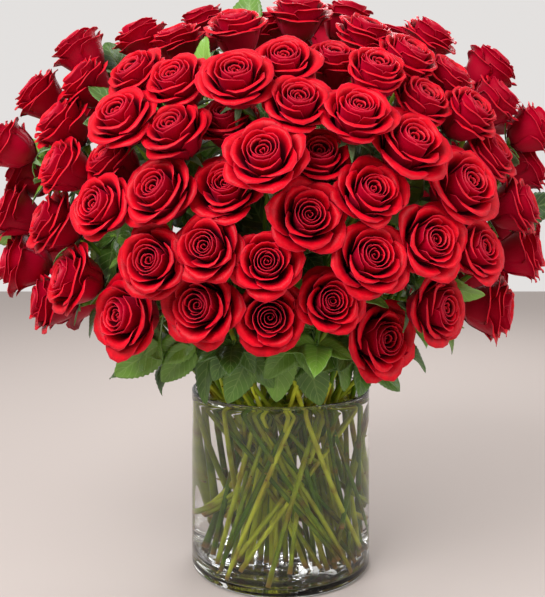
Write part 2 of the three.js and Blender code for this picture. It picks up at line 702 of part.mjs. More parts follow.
// Leaves between the heads lie deeper wherever there is no room for them
function growAmong(around) {
  const slides = Array.from({ length: SLIDES.inSteps }, (_, i) => SLIDES.inStep * i);
  const [leastLength, lengthRange] = LEAF.lengths;
  for (const [column, row, degrees] of AMONG_SEEN) {
    const angle = THREE.MathUtils.degToRad(degrees);
    const along = new THREE.Vector3(Math.cos(angle), 0.1, Math.sin(angle)).normalize();
    const inward = sightLine(column, row).normalize();
    const length = LEAF.length * (leastLength + lengthRange * draw());
    const root = seenAt(column, row, domeDistance(column, row) + LEAF.depth);
    root.addScaledVector(along, -LEAF.rootShare * length);
    settle({ root, along, up: inward.clone().negate(), length, width: LEAF.width }, inward, slides, around);
  }
  for (let i = 0; i < AMONG_BEHIND.leaves; i += 1) {
    const { leaves, margin, out, lowest, range, highStep } = AMONG_BEHIND;
    const turn = margin + ((Math.PI - 2 * margin) * i) / (leaves - 1);
    const outward = new THREE.Vector3(Math.cos(turn), Math.sin(turn), 0);
    const root = outward.clone().multiplyScalar(out).setZ(lowest + range * ((i * highStep) % 1));
    const along = new THREE.Vector3(-outward.y, outward.x, 2 * draw() - 0.6).normalize();
    const leaf = { root, along, up: outward.clone(), length: LEAF.length, width: LEAF.width };
    settle(leaf, outward.clone().negate(), slides, around);
  }
}

// ---------------------------------------------------------------- vase and water

function vaseGeometry() {
  const { radius, height, wall, floor, corner, insideCorner, rimCut } = VASE;
  const cut = (1 - Math.SQRT1_2) * corner;
  const profile = [
    [0, 0], [radius - corner, 0], [radius - cut, cut], [radius, corner],
    [radius, height - rimCut], [radius - rimCut, height], [radius - wall, height],
    [radius - wall, floor + insideCorner], [radius - wall - insideCorner, floor], [0, floor],
  ];
  const lathe = new THREE.LatheGeometry(profile.map(([r, z]) => new THREE.Vector2(r, z)), VASE.sides);
  return lathe.rotateX(Math.PI / 2);
}

function waterSolid(stems) {
  const radius = VASE.radius - VASE.wall - WATER.gap;
  const floor = VASE.floor + WATER.gap;
  const corner = VASE.insideCorner + WATER.gap;
  const profile = [
    [0, floor], [radius - corner, floor], [radius, floor + corner], [radius, WATER.top], [0, WATER.top],
  ];
  const lathe = new THREE.LatheGeometry(profile.map(([r, z]) => new THREE.Vector2(r, z)), VASE.sides);
  const holes = stems.map(({ way, path: [, mouth, foot] }) => {
    const below = foot.clone().addScaledVector(foot.clone().sub(mouth).normalize(), WATER.holeBelow);
    return skin(rodRings([...way, mouth, below], STEM.radius + 2 * WATER.gap, STEM.sides).slice(-2));
  });
  return solidOf(lathe.rotateX(Math.PI / 2)).subtract(joined(holes));
}

// ---------------------------------------------------------------- assembly

const PETAL = { color: 0xc8061c, roughness: 0.55, metalness: 0 };
const GREEN = { color: 0x4f7a2a, roughness: 0.5, metalness: 0 };
const GLASS = { color: 0xdfe9ea, roughness: 0.03, metalness: 0, transparent: true, opacity: 0.35 };
const LIQUID = { color: 0xcfe0dc, roughness: 0.02, metalness: 0, transparent: true, opacity: 0.4 };

const bouquet = new THREE.Group();

function add(name, geometry, looks) {
  const mesh = new THREE.Mesh(geometry, new THREE.MeshStandardMaterial(looks));
  mesh.name = name;
  bouquet.add(mesh);
}

const heads = placeHeads();
const stems = growStems(heads);
const stretches = stems.map(({ path, way }) => [way.at(-1), path[1]]);
const leaves = [];
growCollar({ heads, stretches, leaves });
growAmong({ heads, stretches, leaves });
const stemWays = stems.flatMap((stem) => [
  { head: stem.head, way: [...stem.way, stem.path[1], stem.path[2]] },
  ...bunchOf(stem.head).slice(1).map((head) => ({ head, way: sideStem(stem, head, heads) })),
]);
const stemSkins = stemWays.map(stemGeometry);

add('vase', vaseGeometry(), GLASS);
add('water', geometryOf(waterSolid(stems)), LIQUID);
add('stems_and_leaves', geometryOf(joined([...stemSkins, ...leaves.map(leafGeometry)])), GREEN);

stems.forEach(({ head }, i) => {
  const name = `roses_${String(i + 1).padStart(2, '0')}`;
  add(name, geometryOf(joined(bunchOf(head).map(headGeometry))), PETAL);
});

export default bouquet;
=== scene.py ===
import itertools

import bpy
import numpy as np
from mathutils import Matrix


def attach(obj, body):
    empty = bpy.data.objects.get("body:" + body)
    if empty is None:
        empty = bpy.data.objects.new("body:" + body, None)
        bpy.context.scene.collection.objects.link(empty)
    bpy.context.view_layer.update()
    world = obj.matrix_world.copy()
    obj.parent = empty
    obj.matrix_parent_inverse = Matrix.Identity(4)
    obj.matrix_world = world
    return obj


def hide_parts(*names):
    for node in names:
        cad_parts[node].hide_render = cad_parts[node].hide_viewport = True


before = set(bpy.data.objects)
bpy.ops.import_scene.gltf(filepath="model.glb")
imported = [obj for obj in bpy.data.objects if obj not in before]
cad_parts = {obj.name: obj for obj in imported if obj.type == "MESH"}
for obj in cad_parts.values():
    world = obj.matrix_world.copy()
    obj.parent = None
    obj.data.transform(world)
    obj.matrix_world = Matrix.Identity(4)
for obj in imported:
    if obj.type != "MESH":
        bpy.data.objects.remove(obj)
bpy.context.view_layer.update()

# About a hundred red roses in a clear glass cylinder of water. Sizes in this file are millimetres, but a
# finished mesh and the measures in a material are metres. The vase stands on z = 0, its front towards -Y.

# ---------------------------------------------------------------- the camera
# A level camera in front of the vase. Its distance, height and lens come from the ellipses that the
# vase's foot and rim make in the photograph, which measure a vase of 205 by 200 mm. Its lens is shifted
# down, as in a product picture, so the vase's walls stay upright.

PHOTO_WIDTH = 545
EYE = np.array([-9.3, -940.0, 407.0])
FOCAL_PIXELS = 808
MIDDLE_COLUMN, HORIZON_ROW, MIDDLE_ROW = 272.5, 208.0, 298.5
SENSOR = 36.0
MILLIMETRE = 0.001

lens = bpy.data.cameras.new("camera")
lens.sensor_fit = "HORIZONTAL"
lens.sensor_width = SENSOR
lens.lens = FOCAL_PIXELS / PHOTO_WIDTH * SENSOR
lens.shift_y = (HORIZON_ROW - MIDDLE_ROW) / PHOTO_WIDTH
camera = bpy.data.objects.new("camera", lens)
camera.location = EYE * MILLIMETRE
camera.rotation_euler = (np.pi / 2, 0, 0)
bpy.context.scene.collection.objects.link(camera)
bpy.context.scene.camera = camera

# ---------------------------------------------------------------- the vase
# A plain cylinder of clear soda-lime glass, blown in a mould: 4 mm walls, a thick flat foot and a
# fire-polished rim. It stands on a ring, as its underside is a little hollow. The foot's upper face is
# wavy, which breaks up what is seen through it.

VASE_RADIUS, VASE_HEIGHT, VASE_WALL, VASE_FLOOR, VASE_CORNER = 102.5, 200.0, 4.0, 9.0, 6.0
VASE_SIDES = 160
INSIDE_CORNER = 3.0
RIM_ROUND = 1.6
FLOOR_WAVE, FLOOR_RINGS = 1.3, 26
HOLLOW, RING_WIDTH = 1.6, 5.0
# The wall's straight stretch starts this high and ends this far below its top
WALL_FROM, WALL_SHORT = 20.0, 8.0


def new_mesh(name, points, *faces):
    """A smooth mesh in metres from points (n, 3) in millimetres and arrays of faces, each (m, corners)."""
    corners = np.concatenate([group.ravel() for group in faces]).astype(np.int32)
    sizes = np.concatenate([np.full(len(group), group.shape[1]) for group in faces])
    mesh = bpy.data.meshes.new(name)
    mesh.vertices.add(len(points))
    mesh.vertices.foreach_set("co", (points * MILLIMETRE).astype(np.float32).ravel())
    mesh.loops.add(len(corners))
    mesh.loops.foreach_set("vertex_index", corners)
    mesh.polygons.add(len(sizes))
    mesh.polygons.foreach_set("loop_start", (np.cumsum(sizes) - sizes).astype(np.int32))
    mesh.polygons.foreach_set("use_smooth", np.ones(len(sizes), bool))
    mesh.update(calc_edges=True)
    return mesh


def grid_faces(rows, columns, closed=False):
    """Faces between neighbours in a grid of points numbered row by row; closed joins each row's ends."""
    row = np.arange(rows - 1)[:, None] * columns
    here = np.arange(columns if closed else columns - 1)[None, :]
    there = (here + 1) % columns
    return np.stack([row + here, row + there, row + columns + there, row + columns + here], -1).reshape(-1, 4)


def turned(profile, sides):
    """A profile of (radius, height) from pole to pole, carried round the Z axis: points and faces."""
    turn = np.linspace(0, 2 * np.pi, sides, endpoint=False)
    ring = np.stack([np.cos(turn), np.sin(turn)], -1)
    inner = profile[1:-1]
    rings = np.concatenate([
        inner[:, None, :1] * ring[None],
        np.repeat(inner[:, None, 1:], sides, 1),
    ], -1)
    poles = np.array([[0, 0, profile[0, 1]], [0, 0, profile[-1, 1]]])
    points = np.concatenate([rings.reshape(-1, 3), poles])
    here = np.arange(sides)
    there = (here + 1) % sides
    last = (len(inner) - 1) * sides
    first_fan = np.stack([there, here, np.full(sides, len(points) - 2)], -1)
    last_fan = np.stack([last + here, last + there, np.full(sides, len(points) - 1)], -1)
    return points, grid_faces(len(inner), sides, closed=True), first_fan, last_fan


def arc(centre, radius, start, end, steps):
    """Points of a circle's arc in a profile, from one angle to another in degrees."""
    angle = np.radians(np.linspace(start, end, steps))
    return np.stack([centre[0] + radius * np.cos(angle), centre[1] + radius * np.sin(angle)], -1)


def wall(radius, top, rows):
    """Points up a vase's or its water's straight wall in a profile."""
    return np.stack([np.full(rows, radius), np.linspace(WALL_FROM, top - WALL_SHORT, rows)], -1)


def add_piece(name, slot, material, node_name, points, *faces):
    """Makes a piece that rides on the root body and stands for a CAD node, and returns its mesh."""
    mesh = new_mesh(name, points, *faces)
    piece = bpy.data.objects.new(name, mesh)
    bpy.context.scene.collection.objects.link(piece)
    mesh.materials.append(material)
    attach(piece, "root")
    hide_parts(node_name)
    return mesh


def linear(hex_colour):
    """A colour written as sRGB hex, as linear red, green, blue and alpha."""
    value = np.array([int(hex_colour[i:i + 2], 16) for i in (1, 3, 5)]) / 255
    return (*np.where(value <= 0.04045, value / 12.92, ((value + 0.055) / 1.055) ** 2.4), 1.0)


def new_material(name, **sockets):
    """A material with only its surface shader, whose sockets are set; returns it, its tree and the shader."""
    material = bpy.data.materials.new(name)
    material.use_nodes = True
    tree = material.node_tree
    shader = tree.nodes["Principled BSDF"]
    for key, value in sockets.items():
        shader.inputs[key.replace("_", " ")].default_value = value
    return material, tree, shader


wall_inside = VASE_RADIUS - VASE_WALL
ring_inside = VASE_RADIUS - VASE_CORNER - RING_WIDTH
floor_out = np.linspace(wall_inside - INSIDE_CORNER - 4, 2, FLOOR_RINGS)

# From the middle of the underside out to the ring that the vase stands on, up the outside, over the rim,
# down the inside and back to the middle of the foot's upper face
glass_profile = np.concatenate([
    [[0, HOLLOW], [40, HOLLOW], [ring_inside - 10, HOLLOW]],
    [[ring_inside - 3, 0.6 * HOLLOW], [ring_inside, 0]],
    arc((VASE_RADIUS - VASE_CORNER, VASE_CORNER), VASE_CORNER, -90, 0, 10),
    wall(VASE_RADIUS, VASE_HEIGHT, 12),
    arc((VASE_RADIUS - RIM_ROUND, VASE_HEIGHT - RIM_ROUND), RIM_ROUND, 0, 90, 7),
    arc((wall_inside + RIM_ROUND, VASE_HEIGHT - RIM_ROUND), RIM_ROUND, 90, 180, 7),
    wall(wall_inside, VASE_HEIGHT, 12)[::-1],
    arc((wall_inside - INSIDE_CORNER, VASE_FLOOR + INSIDE_CORNER), INSIDE_CORNER, 0, -90, 8),
    np.stack([floor_out, np.full(FLOOR_RINGS, VASE_FLOOR)], -1),
    [[0, VASE_FLOOR]],
])
glass_points, *glass_faces = turned(glass_profile, VASE_SIDES)

# Two ripples that cross make the waves of the foot's upper face, which fade out towards the wall
out = np.hypot(glass_points[:, 0], glass_points[:, 1])
turn = np.arctan2(glass_points[:, 1], glass_points[:, 0])
wave = np.sin(out / 9) * np.cos(3 * turn + out / 30) + 0.5 * np.sin(out / 5 + 2 * turn)
on_floor = (np.abs(glass_points[:, 2] - VASE_FLOOR) < 0.01) & (out < wall_inside - INSIDE_CORNER - 2)
glass_points[:, 2] -= on_floor * FLOOR_WAVE * (0.8 + wave) * np.clip((wall_inside - out) / 20, 0, 1)

# Clear glass: nothing but its gloss and its bending of light shows, with an IOR of 1.5. Most of it has
# water behind it and reflects little there, for which its specular tint is lowered.
clear_glass, *_ = new_material(
    "clear_soda_lime_glass", Base_Color=linear("#FFFFFF"), Roughness=0.0, IOR=1.5, Transmission_Weight=1.0,
    Specular_Tint=linear("#BCBCBC"),
)
add_piece("vase_glass", "glass", clear_glass, "vase", glass_points, *glass_faces)

# ---------------------------------------------------------------- the water
# Tap water up to just below the rim. It wets the glass, so it climbs a little where it meets the
# wall, and it lies against the glass with no air between: its skin is a hair inside the wall, and under
# the deepest wave of the floor.

WATER_TOP = 196.0
WETTED = 0.04
CLIMB, CLIMB_REACH, CLIMB_WIDTH = 1.6, 2.4, 14.0
DEEPEST_WAVE = 2.4

water_radius = wall_inside + WETTED
water_floor = VASE_FLOOR - DEEPEST_WAVE * FLOOR_WAVE
climb_out = water_radius - CLIMB_WIDTH * np.linspace(0, 1, 14) ** 2
climb_high = WATER_TOP - CLIMB * (1 - np.exp(-(water_radius - climb_out) / CLIMB_REACH))

# Out along the foot, up the wall, and back from where the water climbs to its flat middle
water_profile = np.concatenate([
    [[0, water_floor], [40, water_floor], [80, water_floor]],
    arc((wall_inside - INSIDE_CORNER, VASE_FLOOR + INSIDE_CORNER), INSIDE_CORNER + WETTED, -90, 0, 8),
    wall(water_radius, WATER_TOP, 10),
    np.stack([climb_out, climb_high], -1),
    [[40, climb_high[-1]], [0, climb_high[-1]]],
])
water_points, *water_faces = turned(water_profile, VASE_SIDES)

# Water bends light less than glass, with an IOR of 1.333, and here has the faintest green from the stems.
# Where it touches glass it reflects almost nothing, for which its specular tint is low.
clear_water, *_ = new_material(
    "clear_water", Base_Color=linear("#FEFFFE"), Roughness=0.0, IOR=1.333, Transmission_Weight=1.0,
    Specular_Tint=linear("#595959"),
)
add_piece("vase_water", "water", clear_water, "water", water_points, *water_faces)

# ---------------------------------------------------------------- where the heads are
# The roses make a dome. Each head in front lies on the line of sight on which the photograph shows it,
# where that line meets the dome, and the back is filled evenly. The heads push each other apart, and
# those side by side hold together by a petal in bunches, which are the CAD model's nodes.

# The dome's half width, its depth in front and behind, the height of its middle, how far it reaches
# above and below that, and the power of its curve: 2 would be an ellipsoid, and more is fuller
DOME_HALF_WIDTH, DOME_FRONT, DOME_BACK = 272.0, 240.0, 175.0
DOME_MIDDLE, DOME_ABOVE, DOME_BELOW, DOME_POWER = 400.0, 203.0, 150.0, 2.5
# A head's least and greatest radius, and its rim and underside as shares of the radius
HEAD_LEAST, HEAD_MOST, HEAD_RIM, HEAD_BOTTOM = 28.5, 33.5, 0.95, 0.88
# Heads nearer than this share of their radii, and the clearance, push each other apart. In each round
# all are also pulled back to where the photograph has them, and hardly at all along the line of sight
HEAD_CONTACT, HEAD_CLEARANCE, HEAD_ROUNDS = 0.9, 0.6, 500
HEAD_PUSH, HEAD_PULL, HEAD_PULL_ALONG = 0.4, 0.02, 0.002
# Heads face away from a point of this height on the axis, a little less upwards, and stray by a tilt
HEAD_TILT, HEAD_FOCUS, HEAD_LIFT = 0.2, 285.0, 0.85
# How near and how level two heads are that may be bound, and half the thickness of the petal between
BIND_REACH, BIND_SLANT, BUNCHES, BRIDGE = 1.35, 0.6, 56, 4.5
# Heads behind take spots that two fractions spread evenly, at first only those far from all others
BEHIND_HEADS, BEHIND_SPOTS, BEHIND_TURN, BEHIND_HEIGHT = 31, 500, 0.5698403, 0.7548777
BEHIND_LOWEST, BEHIND_RANGE, BEHIND_SPACING, BEHIND_CLOSER, BEHIND_SIZE = -0.66, 1.64, 120, 3, 0.37
# The number from which the draws start, and a distance greater than any here
SEED, FAR = 20117, 1e9

# Heads seen from the front: pixel column and row of the middle, width in pixels, depth behind in mm
HEADS_SEEN = np.array([
    (207, 30, 46, 50), (238, 36, 48, 0), (270, 35, 44, 55), (297, 22, 50, 0), (345, 26, 46, 30),
    (364, 44, 50, 0), (425, 45, 46, 0), (145, 45, 48, 0), (84, 57, 50, 0), (180, 50, 46, 50),
    (485, 75, 46, 0), (45, 100, 46, 0), (90, 88, 52, 0), (142, 82, 48, 0), (180, 88, 52, 0),
    (237, 87, 62, 0), (286, 70, 55, 0), (333, 70, 48, 0), (375, 82, 46, 0), (405, 68, 46, 0),
    (440, 84, 44, 0), (490, 105, 42, 0), (527, 135, 42, 0), (15, 150, 42, 0), (68, 128, 52, 0),
    (125, 125, 58, 0), (178, 140, 58, 0), (230, 125, 54, 20), (300, 113, 58, 0), (357, 120, 58, 0),
    (415, 105, 48, 0), (462, 122, 46, 0), (405, 147, 66, 0), (70, 170, 46, 0), (32, 178, 46, 0),
    (117, 165, 48, 10), (263, 163, 68, 0), (318, 158, 56, 10), (480, 155, 48, 0), (520, 168, 46, 0),
    (20, 215, 48, 0), (60, 225, 56, 0), (107, 208, 56, 0), (165, 193, 66, 0), (230, 193, 66, 0),
    (368, 197, 62, 0), (457, 190, 68, 0), (510, 208, 54, 0), (30, 265, 56, 0), (305, 222, 66, 0),
    (212, 248, 62, 0), (158, 263, 66, 0), (268, 262, 62, 0), (367, 262, 70, 0), (425, 243, 66, 0),
    (470, 252, 58, 0), (517, 255, 52, 0), (80, 280, 58, 0), (55, 300, 52, 0), (133, 315, 74, 0),
    (208, 305, 72, 0), (270, 315, 66, 0), (327, 302, 62, 0), (375, 338, 70, 0), (430, 308, 60, 0),
    (485, 308, 58, 0),
], float)


def number_stream(seed):
    """A repeatable stream of numbers from 0 to 1. A whole number is multiplied by 16807, and what is left
    of it after division by 2147483647 is the next one, and is drawn as its share of that."""
    while True:
        seed = seed * 16807 % 2147483647
        yield seed / 2147483647


# These draws are the CAD model's own, so heads, stems and leaves stand as they do there
numbers = number_stream(SEED)


def unit(vectors):
    """The same directions with length 1."""
    return vectors / np.linalg.norm(vectors, axis=-1, keepdims=True)


def dot(a, b):
    """Scalar products along the last axis."""
    return (a * b).sum(-1)


def sight_line(column, row):
    """Direction from the eye through a pixel, one millimetre deep."""
    column, row = np.broadcast_arrays(np.asarray(column, float), np.asarray(row, float))
    return np.stack([
        (column - MIDDLE_COLUMN) / FOCAL_PIXELS, np.ones_like(column), (HORIZON_ROW - row) / FOCAL_PIXELS,
    ], -1)


def seen_at(column, row, distance):
    """The point at a depth from the eye that a pixel shows."""
    return EYE + sight_line(column, row) * np.asarray(distance, float)[..., None]


def dome_level(points):
    """Below 1 inside the dome and 1 on it: a superellipsoid, flatter below its middle than above."""
    high = points[..., 2] - DOME_MIDDLE
    half_depth = np.where(points[..., 1] < 0, DOME_FRONT, DOME_BACK)
    across = np.hypot(points[..., 0] / DOME_HALF_WIDTH, points[..., 1] / half_depth)
    half_height = np.where(high > 0, DOME_ABOVE, DOME_BELOW)
    return across ** DOME_POWER + np.abs(high / half_height) ** DOME_POWER


def dome_distance(column, row):
    """Depth at which a line of sight enters the dome, or passes nearest to it."""
    depths = np.arange(600.0, 1000.0, 2.0)      # from in front of the dome to behind it
    level = dome_level(seen_at(column, row, depths))
    return depths[np.argmax(level < 1) if (level < 1).any() else np.argmin(level)]


column, row, width, behind = HEADS_SEEN.T
depth = np.array([dome_distance(c, r) for c, r in zip(column, row)]) + behind
place = seen_at(column, row, depth)
head_line = unit(sight_line(column, row))
head_radius = np.clip(width * depth / FOCAL_PIXELS / 2 / HEAD_RIM, HEAD_LEAST, HEAD_MOST)

spot = np.arange(BEHIND_SPOTS)
spot_turn = np.pi * (spot * BEHIND_TURN % 1)
spot_height = BEHIND_LOWEST + BEHIND_RANGE * (spot * BEHIND_HEIGHT % 1)
spot_out = (1 - np.abs(spot_height) ** DOME_POWER) ** (1 / DOME_POWER)
spots = np.stack([
    DOME_HALF_WIDTH * spot_out * np.cos(spot_turn),
    DOME_BACK * spot_out * np.sin(spot_turn),
    DOME_MIDDLE + spot_height * np.where(spot_height > 0, DOME_ABOVE, DOME_BELOW),
], -1)
spacing = BEHIND_SPACING
front_heads = len(place)
all_heads = front_heads + BEHIND_HEADS
while len(place) < all_heads:
    for candidate in spots:
        is_free = (np.linalg.norm(place - candidate, axis=1) > spacing).all()
        if is_free and len(place) < all_heads:
            place = np.vstack([place, candidate])
    spacing -= BEHIND_CLOSER
step = np.arange(BEHIND_HEADS) * BEHIND_SIZE % 1
head_radius = np.concatenate([head_radius, HEAD_LEAST + (HEAD_MOST - HEAD_LEAST) * step])
head_line = np.vstack([head_line, np.zeros((BEHIND_HEADS, 3))])


def all_apart(points):
    """The way from each point to each other, and how far that is; each is far from itself."""
    apart = points[None] - points[:, None]
    distance = np.linalg.norm(apart, axis=-1)
    np.fill_diagonal(distance, FAR)
    return apart, distance


home = place.copy()
both = head_radius[:, None] + head_radius[None]
wanted = HEAD_CONTACT * both + HEAD_CLEARANCE
for _ in range(HEAD_ROUNDS):
    apart, distance = all_apart(place)
    push = np.where(distance < wanted, HEAD_PUSH * (wanted - distance) / distance, 0)
    place = place - (apart * push[..., None]).sum(1)
    off = place - home
    along = dot(off, head_line)[:, None] * head_line
    place = place - HEAD_PULL * (off - along) - HEAD_PULL_ALONG * along

distance = all_apart(place)[1]
head_radius = head_radius * np.minimum(1, ((distance - HEAD_CLEARANCE) / both / HEAD_CONTACT).min(1))

head_draws = np.array(list(itertools.islice(numbers, 4 * len(place)))).reshape(-1, 4)
outward = (place - [0, 0, HEAD_FOCUS]) * [1, 1, HEAD_LIFT]
axis = unit(unit(outward) + (head_draws[:, :3] - 0.5) * HEAD_TILT)
spin = 2 * np.pi * head_draws[:, 3]

# Pairs bind first, the nearest before the others. Then heads left alone join pairs until there are as
# many bunches as in the CAD model
pairs = []
for a, b in itertools.combinations(range(len(place)), 2):
    apart = place[b] - place[a]
    gap = np.linalg.norm(apart)
    slant = max(abs(dot(apart, axis[a])), abs(dot(apart, axis[b]))) / gap
    reach = gap / (head_radius[a] + head_radius[b])
    if reach < BIND_REACH and slant < BIND_SLANT:
        pairs.append((reach, a, b))
pairs.sort(key=lambda pair: pair[0])
mates = [[] for _ in place]
bunch_count = len(place)
for _, a, b in pairs:
    if not mates[a] and not mates[b]:
        mates[a].append(b)
        mates[b].append(a)
        bunch_count -= 1
for _, a, b in pairs:
    lone, other = (b, a) if mates[a] else (a, b)
    is_pair = len(mates[other]) == 1 and len(mates[mates[other][0]]) == 1
    if not mates[lone] and is_pair and bunch_count > BUNCHES:
        mates[lone].append(other)
        mates[other].append(lone)
        bunch_count -= 1


def bunch_of(head):
    """The heads bound together with this one, the most bound first."""
    bunch = [head]
    for member in bunch:
        bunch.extend(mate for mate in mates[member] if mate not in bunch)
    return sorted(bunch, key=lambda member: (-len(mates[member]), member))


leaders = [head for head in range(len(place)) if bunch_of(head)[0] == head]
leaders.sort(key=lambda head: np.hypot(*place[head][:2]))

# ---------------------------------------------------------------- the roses
# Each bloom is about two dozen thin velvety petals on a green receptacle. They follow one another by the
# golden angle and are wrapped in a tight spiral at the heart, and lie open further out, where each rim
# rolls back on both sides of a point. A bunch of one to three blooms is one piece.

PETALS_EACH = 24
PETAL_ACROSS, PETAL_ALONG = 9, 8
PETAL_THICKNESS = 0.45
GOLDEN_ANGLE = np.pi * (3 - 5 ** 0.5)

# Draws for what the CAD model doesn't have
shape_numbers = np.random.default_rng(SEED)


def smooth(value):
    """Runs from 0 to 1 with no slope at either end, as 3x2 - 2x3, and stays there outside."""
    value = np.clip(value, 0, 1)
    return value * value * (3 - 2 * value)


def petal_grid(open_share, pointed, random):
    """Petal skins (petals, across, along, 3) of one bloom in head radii, with its axis along Z.

    Along a petal, v from 0 to 1 runs on a cubic curve from the receptacle round the belly to the rim:
    p0 (1-v)^3 + 3 p1 v (1-v)^2 + 3 p2 v^2 (1-v) + p3 v^3. The curve depends on the turn in the spiral, t,
    from 0 at the heart, where petals stand, to 1 outside, where they arch out to a wide, low rim: its
    radius there grows with open_share, and its height first rises and then falls with t. Across it, u
    from -1 to 1, v ends at 1 - c |u|^d. With pointed at 1 that gives the outer petals of an open bloom a
    point, and at 0 a round rim. Their sides roll back, by u^2 v^4, and all rims ripple a little."""
    petal = np.arange(PETALS_EACH)[:, None, None]
    u = np.linspace(-1, 1, PETAL_ACROSS)[None, :, None]
    v = np.linspace(0, 1, PETAL_ALONG)[None, None, :] ** 0.7
    stray = random.uniform(-1, 1, (7, PETALS_EACH, 1, 1))
    share = (petal + 0.5) / PETALS_EACH

    # How far round the bloom a petal reaches, and so its place in the spiral at each u
    outer = smooth((share - 0.36) / 0.22)
    half_angle = 1.75 - 0.6 * outer - 0.22 * smooth((share - 0.6) / 0.4) + 0.08 * stray[0]
    t = np.clip(share + 0.5 * half_angle * u * (1 - 0.5 * outer) / GOLDEN_ANGLE / PETALS_EACH, 0, 1.03)

    # The outline of its free end
    sharp = outer * pointed * smooth((open_share - 0.4) / 0.8)
    end = 1 - (0.05 + 0.19 * sharp) * np.abs(u) ** (3 - 1.8 * sharp) - 0.28 * np.abs(u) ** 9
    v = v * end

    # The radius at the belly and at the rim, and the height of the rim
    wide = np.clip((t - 0.4) / 0.4, 0, 1)
    belly = 0.03 + 0.85 * np.minimum(t, 0.4) + 0.22 * wide
    flare = (0.04 + 0.38 * wide) * open_share * (1 + 0.12 * stray[1])
    rim = belly + flare * outer + 0.02 * stray[1]
    rim = rim + 0.035 * sharp * (1 - np.abs(u)) ** 2 - 0.1 * outer * np.abs(u) ** 5
    top = 0.3 + 0.16 * smooth(t / 0.35) - 0.56 * np.clip((t - 0.45) / 0.55, 0, 1) ** 1.3
    top = top + 0.02 * stray[2] * (1 + outer)
    lift = 0.4 * outer - 0.25

    # The curve itself, with its sides rolled back and its ripples
    first, last = (1 - v) ** 3, v ** 3
    lower, upper = 3 * v * (1 - v) ** 2, 3 * v ** 2 * (1 - v)
    radius = (0.01 + 0.12 * share) * first + 1.15 * belly * lower + 0.95 * belly * upper + rim * last
    high = -0.82 * first - 0.66 * lower + (top + lift) * upper + top * last
    high = high - (0.05 * outer + 0.07 * sharp) * (1 + 0.4 * stray[3]) * u ** 2 * v ** 4
    ripple = v ** 3 * (0.008 + 0.022 * outer)
    radius = radius + ripple * np.sin(4.5 * u + 3 * stray[4])
    high = high + ripple * np.sin(5.5 * u + 3 * stray[5])
    turn = petal * GOLDEN_ANGLE + 0.22 * stray[6] + half_angle * u * (0.7 + 0.3 * smooth(v / 0.5))
    return np.stack([radius * np.cos(turn), radius * np.sin(turn), high + 0 * turn], -1)


def shell(outside, thickness):
    """Closes skins (..., rows, columns, 3): each gets an inner face one thickness in, and a rim.

    The inner face lies along the normal, the cross product of the grid's two directions. Returns the
    points, quads and no triangles, each point's u and v, and its side as 1 outside and 0 inside."""
    rows, columns = outside.shape[-3:-1]
    skins = outside.reshape(-1, rows, columns, 3)
    normal = unit(np.cross(np.gradient(skins, axis=1), np.gradient(skins, axis=2)) + 1e-9)
    points = np.stack([skins, skins - normal * thickness], 1)
    number = np.arange(rows * columns).reshape(rows, columns)
    front = grid_faces(rows, columns)
    border = np.concatenate([number[0], number[1:, -1], number[-1, -2::-1], number[-2:0:-1, 0]])
    after = np.roll(border, -1)
    inside = rows * columns
    rim = np.stack([border, border + inside, after + inside, after], -1)
    faces = np.concatenate([front[:, ::-1], front + inside, rim[:, ::-1]])
    first = np.arange(len(skins)) * 2 * inside
    quads = (first[:, None, None] + faces[None]).reshape(-1, 4)
    u, v = np.meshgrid(np.linspace(0, 1, rows), np.linspace(0, 1, columns), indexing="ij")
    places = np.tile(np.stack([u, v], -1).reshape(inside, 2), (2 * len(skins), 1))
    sides = np.tile(np.repeat([1.0, 0.0], inside), len(skins))
    return points.reshape(-1, 3), quads, np.zeros((0, 3), int), places, sides


def gather(parts):
    """Joins meshes, each (points, quads, triangles, *values for each point), into one."""
    points, quads, triangles, values, first = [], [], [], [], 0
    for part_points, part_quads, part_triangles, *part_values in parts:
        points.append(part_points)
        quads.append(part_quads + first)
        triangles.append(part_triangles + first)
        values.append(part_values)
        first += len(part_points)
    return (
        np.concatenate(points), np.concatenate(quads), np.concatenate(triangles),
        *(np.concatenate(group) for group in zip(*values)),
    )


def add_surface_data(mesh, uv, **values):
    """Gives a mesh its own UV map, from a value for each point, and named numbers for each point."""
    corner = np.empty(len(mesh.loops), np.int32)
    mesh.loops.foreach_get("vertex_index", corner)
    layer = mesh.uv_layers.new(name="surface")
    layer.data.foreach_set("uv", uv[corner].astype(np.float32).ravel())
    for name, value in values.items():
        attribute = mesh.attributes.new(name, "FLOAT", "POINT")
        attribute.data.foreach_set("value", value.astype(np.float32))


def head_frame(head):
    """Two directions square to a head's axis; the first points at the head that it is bound to."""
    side = place[mates[head][0]] - place[head] if mates[head] else np.array([
        np.cos(spin[head]), np.sin(spin[head]), 0.3])
    side = unit(side - dot(side, axis[head]) * axis[head])
    return np.stack([side, np.cross(axis[head], side), axis[head]])


# Rose petal: soft red cells that scatter light like velvet. The inner face is bright and the back is a
# cooler, darker crimson. Painted shade darkens the foot of each petal, and a painted highlight makes its thin
# rim a little paler.
petal_red, petal_tree, petal_shader = new_material(
    "red_rose_petal", Roughness=0.45, IOR=1.4, Sheen_Weight=0.15, Sheen_Roughness=0.4,
    Sheen_Tint=linear("#FF3A6C"), Specular_IOR_Level=0.25,
)
# The darkest of these reds is painted shade at the foot of each petal
PETAL_FACE, PETAL_SHADE, PETAL_PAINTED_SHADE = "#E4001E", "#C2001A", "#48000A"
# The second colour here is a painted highlight along each petal's rim; the last two numbers say where it
# starts and how strong it is
PETAL_BACK, PETAL_PAINTED_HIGHLIGHT, HIGHLIGHT_FROM, HIGHLIGHT_STRENGTH = "#B40028", "#F04060", 0.97, 0.28
VEINS_ACROSS, BLOTCH_ACROSS, VELVET_ACROSS = 26, 9.0, 0.9


